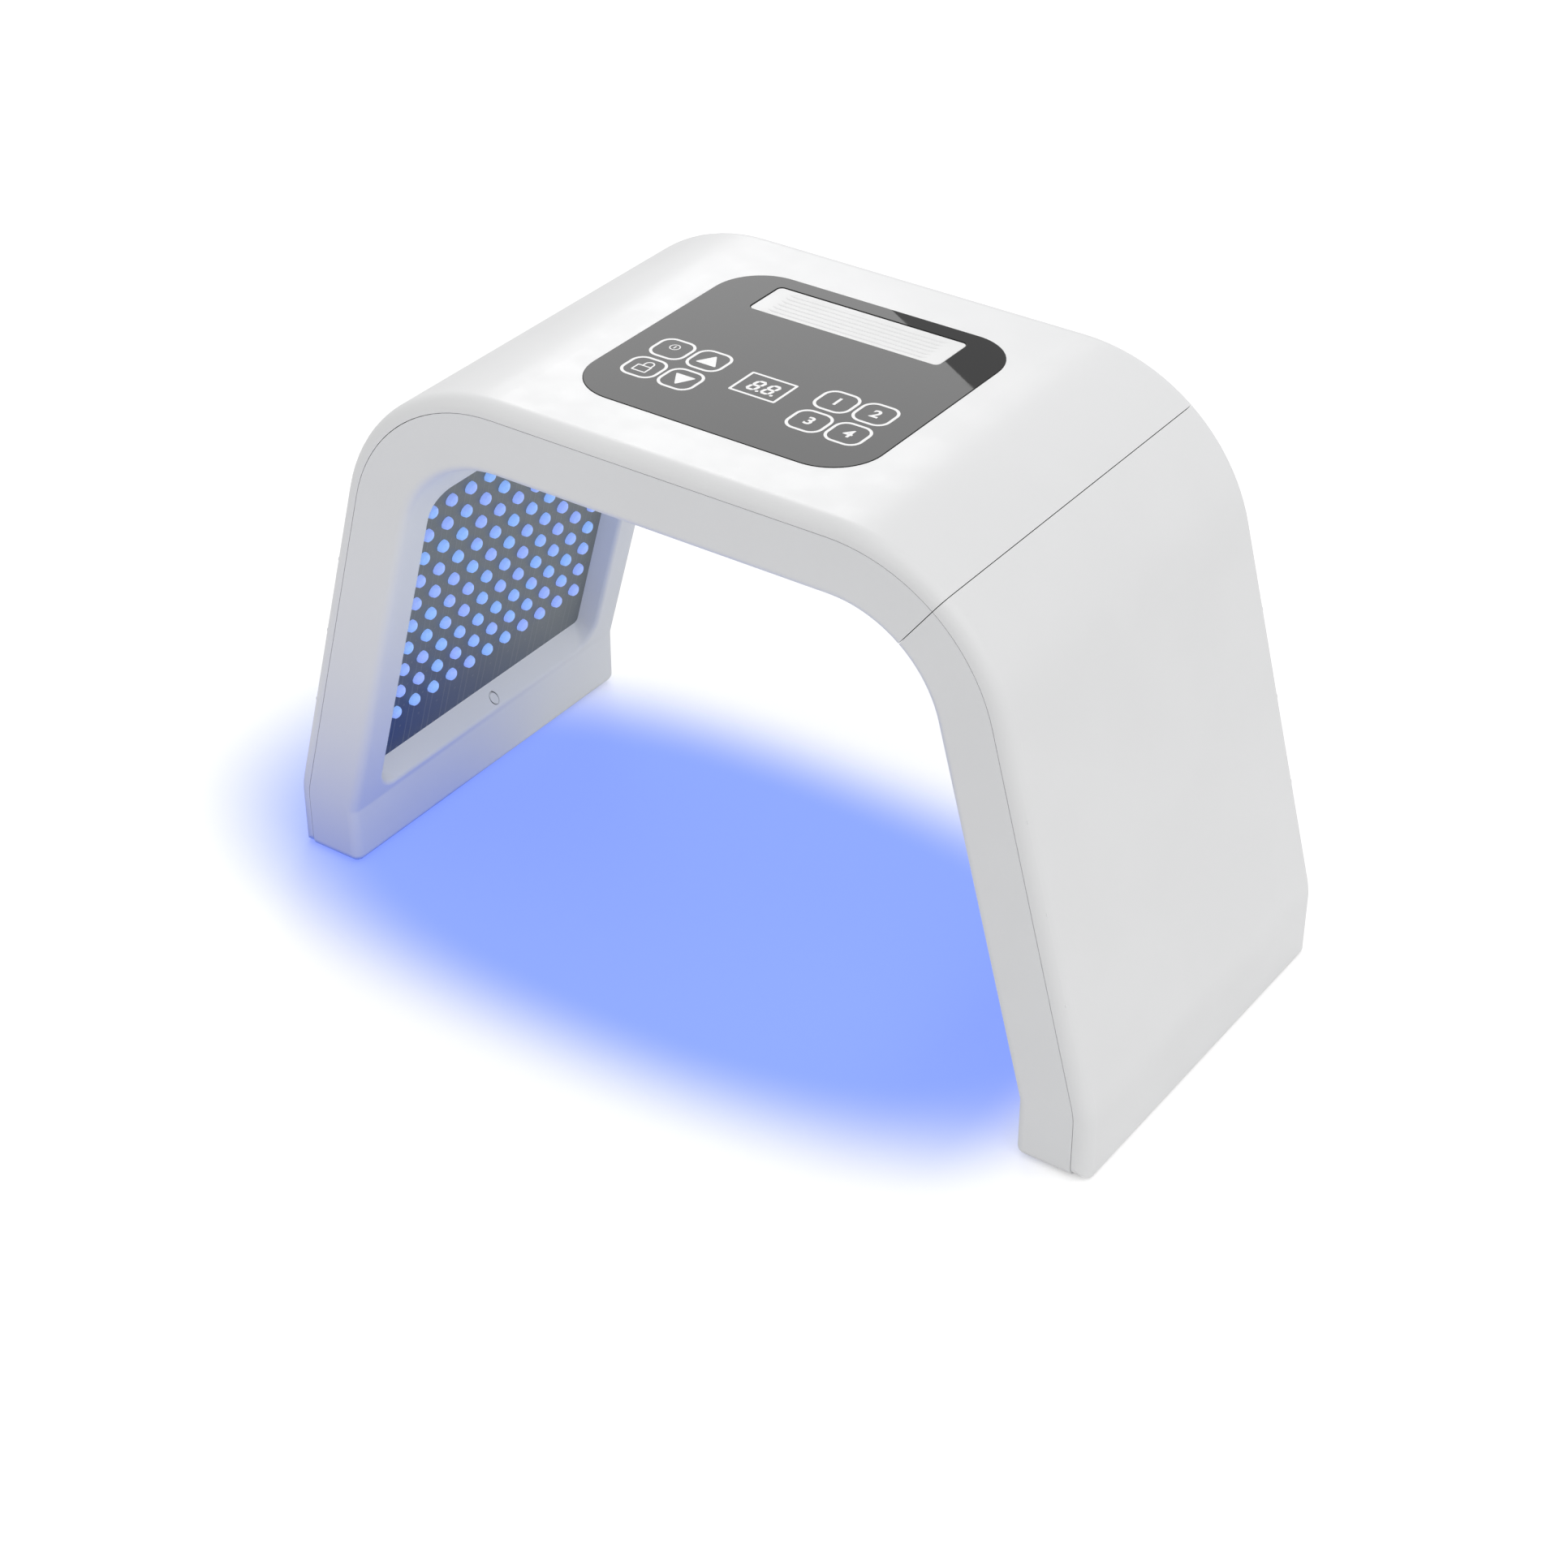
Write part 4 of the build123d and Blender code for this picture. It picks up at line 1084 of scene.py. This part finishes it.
    def printed(self, name: str, outlines: list[Outline]) -> bpy.types.Mesh:
        """A print on the panel's top.

        Args:
            name: The print's name.
            outlines: Its outlines.

        Returns:
            The mesh.
        """
        return plate(name, outlines, self.top, self.print_top)

    def place(self, made: bpy.types.Object) -> None:
        """Lets a print or the vent's ridges ride with the panel.

        Args:
            made: The piece.
        """
        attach(made, Body.FRAME.value)
        report.info("placed %s on the panel", made.name)

    def key_outlines(self) -> None:
        """Prints the two groups of four key outlines."""
        inner = self.key - 2 * self.line
        for side, name in ((-1, "left"), (1, "right")):
            outlines = [
                rectangle(self.key, self.key, self.key_corner, steps=8),
                rectangle(inner, inner, self.key_corner - self.line, steps=8),
            ]
            shape = self.printed(f"key_outlines_{name}", outlines)
            middle = Matrix.Translation(Vector((side * self.group_x, self.row_y, 0.0)) * MM)
            made = self.repeat.build(
                f"key_outlines_{name}", shape, WHITE_INK, (2, 2),
                (self.key_pitch_x, self.key_pitch_y), middle,
            )
            self.place(made)

    def display(self) -> None:
        """Prints the display's frame and its two digits with their points."""
        middle = (0.0, self.display_y)
        outer_corner, inner_corner = self.display_corners
        frame_lines = [
            rectangle(self.display_width, self.display_length, outer_corner, middle, 4),
            rectangle(
                self.display_width - 2 * self.display_line,
                self.display_length - 2 * self.display_line, inner_corner, middle, 4,
            ),
        ]
        self.place(piece("display_frame", self.printed("display_frame", frame_lines), WHITE_INK))
        lean = math.tan(math.radians(self.digit_lean))
        w, h, s = self.digit_width / 2, self.digit_height / 2, self.digit_stroke
        gap = self.digit_gap
        level = [(y, -w + s / 2 + gap, w - s / 2 - gap) for y in (-h + s / 2, 0.0, h - s / 2)]
        bars = [
            [
                (a, y), (a + s / 2, y - s / 2), (b - s / 2, y - s / 2), (b, y),
                (b - s / 2, y + s / 2), (a + s / 2, y + s / 2),
            ]
            for y, a, b in level
        ]
        for x in (-w + s / 2, w - s / 2):
            for a, b in ((-h + s / 2 + gap, -gap), (gap, h - s / 2 - gap)):
                bars.append([
                    (x, a), (x + s / 2, a + s / 2), (x + s / 2, b - s / 2), (x, b),
                    (x - s / 2, b - s / 2), (x - s / 2, a + s / 2),
                ])
        beside, above = self.point_shift
        bars.append(ring(self.point_radius, (w + beside, -h + above), 12))
        slanted = [[(x + y * lean, y) for x, y in bar] for bar in bars]
        made = self.repeat.build(
            "display_digits", self.printed("display_digits", slanted), WHITE_INK, (2, 1),
            (self.digit_pitch, 1.0),
            Matrix.Translation(Vector((self.digit_x, self.digit_y, 0.0)) * MM),
        )
        self.place(made)

    def signs(self) -> None:
        """Prints the power, lock, up and down signs of the left keys."""
        x, y = self.power_middle
        bar_x, bar_y = self.power_bar
        wide, tall = self.lock_size
        thick = 2 * self.lock_line
        outer_corner, inner_corner = self.lock_corners
        foot_x = self.lock_middle[0] + self.shackle_shift[0]
        foot_y = self.lock_middle[1] + tall / 2 + self.shackle_shift[1]
        turns = [math.pi * step / self.shackle_steps for step in range(self.shackle_steps + 1)]
        outside, inside = (
            [
                (foot_x + radius, foot_y),
                *(
                    (
                        foot_x + radius * math.cos(turn),
                        foot_y + self.shackle_rise + radius * math.sin(turn),
                    )
                    for turn in turns
                ),
                (foot_x - radius, foot_y),
            ]
            for radius in self.shackle_radii
        )
        outlines = [
            rounded(list(self.up_sign), self.sign_corner, 4),
            rounded(list(self.down_sign), self.sign_corner, 4),
            *(ring(radius, self.power_middle) for radius in self.power_radii),
            [(x - bar_x, y - bar_y), (x + bar_x, y - bar_y), (x + bar_x, y + bar_y),
             (x - bar_x, y + bar_y)],
            rectangle(wide, tall, outer_corner, self.lock_middle, 4),
            rectangle(wide - thick, tall - thick, inner_corner, self.lock_middle, 4),
            outside + inside[::-1],
        ]
        self.place(piece("key_signs", self.printed("key_signs", outlines), WHITE_INK))

    def numerals(self) -> None:
        """Prints the plain numbers of the four right keys."""
        x, y = self.group_x, self.row_y
        across, along = self.key_pitch_x / 2, self.key_pitch_y / 2
        spots = [(x - across, y + along), (x + across, y + along),
                 (x - across, y - along), (x + across, y - along)]
        for number, (left, low) in enumerate(spots, start=1):
            text = bpy.data.curves.new(f"numeral_{number}", "FONT")
            text.body = str(number)
            text.size = self.numeral * MM
            text.extrude = (self.print_top - self.top) / 2 * MM
            text.offset = self.numeral_weight * MM
            text.align_x = "CENTER"
            text.align_y = "CENTER"
            place = Matrix.Translation(
                Vector((left, low, (self.print_top + self.top) / 2)) * MM
            )
            mesh = curve_mesh(text, place)
            self.place(piece(f"numeral_{number}", mesh, WHITE_INK))

    def build(self) -> None:
        """Builds the panel and everything printed on it."""
        self.sheet()
        self.vent()
        self.key_outlines()
        self.display()
        self.signs()
        self.numerals()
        dress({"display_module": SMOKED_COVER})


@dataclass
class Works:
    """The boards, fan, inlet, hinges, screws, pads and feet inside and under the housing."""

    def dress(self) -> None:
        """Gives the inner parts their finishes."""
        kinds = {
            "driver_board": DRIVER_MASK,
            "touch_board": DRIVER_MASK,
            "touch_pads": BULK[Bulk.FOAM],
            "fan_frame": BULK[Bulk.BLACK],
            "fan_rotor": BULK[Bulk.BLACK],
            "power_inlet": BULK[Bulk.BLACK],
            "foot_pads_left": BULK[Bulk.RUBBER],
            "foot_pads_wing": BULK[Bulk.RUBBER],
        }
        steel = [
            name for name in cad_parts
            if "screws" in name or name.startswith("hinge_")
        ]
        dress({**kinds, **{name: BULK[Bulk.STEEL] for name in steel}})


@dataclass
class Studio:
    """The pale floor with its pool of blue light, the lamps and the camera."""

    floor_half: float = 9000.0
    floor_drop: float = 0.3
    floor_shade: float = 0.9
    floor_roughness: float = 0.9
    floor_lift: float = 0.34
    pool_middle: Pair = (-31.0, -27.0)
    pool_reach: Pair = (225.0, 115.0)
    pool_power: float = 2.4
    pool_soft: float = 0.22
    fade_share: float = 1.6
    pool_end: Pair = (150.0, 206.0)
    pool_tint: Colour = (0.12, 0.17, 0.3)
    pool_glow: Colour = (0.21, 0.3, 0.86)
    bounce_middle: Pair = (-165.0, -95.0)
    bounce_reach: Pair = (118.0, 92.0)
    bounce_soft: float = 0.4
    bounce_tint: Colour = (0.03, 0.06, 0.15)
    bounce_glow: Colour = (0.0, 0.08, 0.68)
    ambient: float = 0.6
    sun_strength: float = 0.8
    sun_spread: float = 70.0
    sun_from: Triple = (0.53, -0.1, 0.84)
    softbox_radiance: float = 2.85
    softbox_size: Pair = (0.8, 0.6)
    softbox_across: Triple = (-0.7885, -0.1344, -0.6001)
    softbox_rise: Triple = (-0.3947, -0.6377, 0.6615)
    softbox_low_edge: Triple = (-0.7244, 1.2738, 1.0016)
    fill_radiance: float = 1.5
    fill_size: Pair = (0.16, 0.1)
    fill_place: Triple = (0.12, -0.03, 0.14)
    fill_turn: float = 90.0
    fill_colour: Colour = (0.72, 0.85, 1.0)
    lens: float = 74.36
    sensor: float = 36.0
    camera_place: Triple = (0.6902, -1.0018, 0.8944)
    camera_tilt: float = 55.6
    camera_turn: float = 34.79

    def patch(
        self, wiring: Wiring, middle: Pair, reach: Pair, soft: float
    ) -> Socket:
        """The share of a soft-edged patch on the floor.

        Args:
            wiring: The floor material's nodes.
            middle: The patch's middle.
            reach: Half its size along X and Y.
            soft: How far its edge fades, as a share of its reach.

        Returns:
            The socket with the share.
        """
        parts = wiring.node("ShaderNodeSeparateXYZ", {0: wiring.object_place()}).outputs
        total = 0.0
        for number in range(2):
            away = wiring.math("SUBTRACT", parts[number], middle[number] * MM)
            share = wiring.math("DIVIDE", away, reach[number] * MM)
            raised = wiring.math("POWER", wiring.math("ABSOLUTE", share), self.pool_power)
            total = wiring.math("ADD", raised, total)
        edge = wiring.math("POWER", total, 1 / self.pool_power)
        return wiring.ramp(edge, 1 - soft, 1 + soft * self.fade_share, 1.0, 0.0)

    def floor(self) -> None:
        """Lays the floor, white with a soft-edged blue pool of light under the arch.

        The light that the floor throws back is blue round the left foot's front alone.
        """
        half = self.floor_half * MM
        corners = [(-half, -half), (half, -half), (half, half), (-half, half)]
        mesh = bpy.data.meshes.new("floor")
        drop = -self.floor_drop * MM
        mesh.from_pydata([(x, y, drop) for x, y in corners], [], [(0, 1, 2, 3)])
        paper = Finish("floor paper", (self.floor_shade,) * 3, self.floor_roughness)
        made = piece("floor", mesh, paper)
        wiring = Wiring(mesh.materials[0].node_tree)
        shader = wiring.tree.nodes["Principled BSDF"]
        shader.inputs["Specular IOR Level"].default_value = 0.0
        parts = wiring.node("ShaderNodeSeparateXYZ", {0: wiring.object_place()}).outputs
        near, far = (end * MM for end in self.pool_end)
        pool = wiring.math(
            "MULTIPLY",
            self.patch(wiring, self.pool_middle, self.pool_reach, self.pool_soft),
            wiring.ramp(parts[0], near, far, 1.0, 0.0),
        )
        bounce = self.patch(wiring, self.bounce_middle, self.bounce_reach, self.bounce_soft)
        seen = wiring.node("ShaderNodeLightPath").outputs["Is Camera Ray"]
        white, dark, lift = ((part,) * 3 for part in (self.floor_shade, 0.0, self.floor_lift))
        looks = {
            "Base Color": ((white, self.bounce_tint), (white, self.pool_tint)),
            "Emission Color": ((dark, self.bounce_glow), (lift, self.pool_glow)),
        }
        for socket, (thrown, shown) in looks.items():
            colour = wiring.mix(
                seen, wiring.mix(bounce, *thrown), wiring.mix(pool, *shown)
            )
            wiring.tree.links.new(colour, shader.inputs[socket])
        shader.inputs["Emission Strength"].default_value = 1.0

    def world(self) -> None:
        """Sets the sky: white where it is seen and even grey light where it lights."""
        world = bpy.data.worlds.new("studio")
        bpy.context.scene.world = world
        world.use_nodes = True
        wiring = Wiring(world.node_tree)
        path = wiring.node("ShaderNodeLightPath").outputs
        seen = wiring.math("MAXIMUM", path["Is Camera Ray"], path["Is Glossy Ray"])
        seen = wiring.math("MAXIMUM", seen, path["Is Transmission Ray"])
        sky = world.node_tree.nodes["Background"]
        sky.inputs["Color"].default_value = (1.0, 1.0, 1.0, 1.0)
        wiring.tree.links.new(
            wiring.math("MAXIMUM", seen, self.ambient), sky.inputs["Strength"]
        )

    def area_light(self, name: str, size: Pair, radiance: float) -> bpy.types.Object:
        """A rectangular light that the camera doesn't see.

        Args:
            name: The light's name.
            size: Its width and height in metres.
            radiance: How bright its face is.

        Returns:
            The light's object, still at the origin.
        """
        wide, tall = size
        light = bpy.data.lights.new(name, "AREA")
        light.shape = "RECTANGLE"
        light.size, light.size_y = wide, tall
        light.energy = radiance * math.pi * wide * tall
        made = bpy.data.objects.new(name, light)
        made.visible_camera = False
        bpy.context.scene.collection.objects.link(made)
        return made

    def lights(self) -> None:
        """Hangs the overhead light, the softbox that the panel mirrors and a fill light."""
        sun = bpy.data.lights.new("overhead light", "SUN")
        sun.energy = self.sun_strength
        sun.angle = math.radians(self.sun_spread)
        made = bpy.data.objects.new("overhead light", sun)
        made.rotation_euler = Vector(self.sun_from).to_track_quat("Z", "Y").to_euler()
        bpy.context.scene.collection.objects.link(made)
        across, rise = Vector(self.softbox_across), Vector(self.softbox_rise)
        turn = Matrix((across, rise, across.cross(rise))).transposed().to_4x4()
        middle = Vector(self.softbox_low_edge) + rise * self.softbox_size[1] / 2
        softbox = self.area_light("softbox", self.softbox_size, self.softbox_radiance)
        softbox.matrix_world = Matrix.Translation(middle) @ turn
        fill = self.area_light("fill under the arch", self.fill_size, self.fill_radiance)
        fill.data.color = self.fill_colour
        fill.location = self.fill_place
        fill.rotation_euler = (0.0, math.radians(self.fill_turn), 0.0)
        fill.visible_glossy = False

    def camera(self) -> None:
        """Stands the camera in front, to the right and above."""
        data = bpy.data.cameras.new("camera")
        data.lens = self.lens
        data.sensor_width = self.sensor
        made = bpy.data.objects.new("camera", data)
        made.location = self.camera_place
        made.rotation_euler = (
            math.radians(self.camera_tilt), 0.0, math.radians(self.camera_turn)
        )
        bpy.context.scene.collection.objects.link(made)
        bpy.context.scene.camera = made

    def build(self) -> None:
        """Sets up the whole studio."""
        self.floor()
        self.world()
        self.lights()
        self.camera()
        bpy.context.scene.view_settings.view_transform = "Standard"
        report.info("set up the studio")


def main() -> None:
    """Builds the sub-assemblies in order."""
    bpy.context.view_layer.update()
    repeat = GridRepeat()
    Housing().build()
    LampBoards(repeat).build()
    TouchPanel(repeat).build()
    Works().dress()
    Studio().build()


if __name__ == "__main__":
    main()
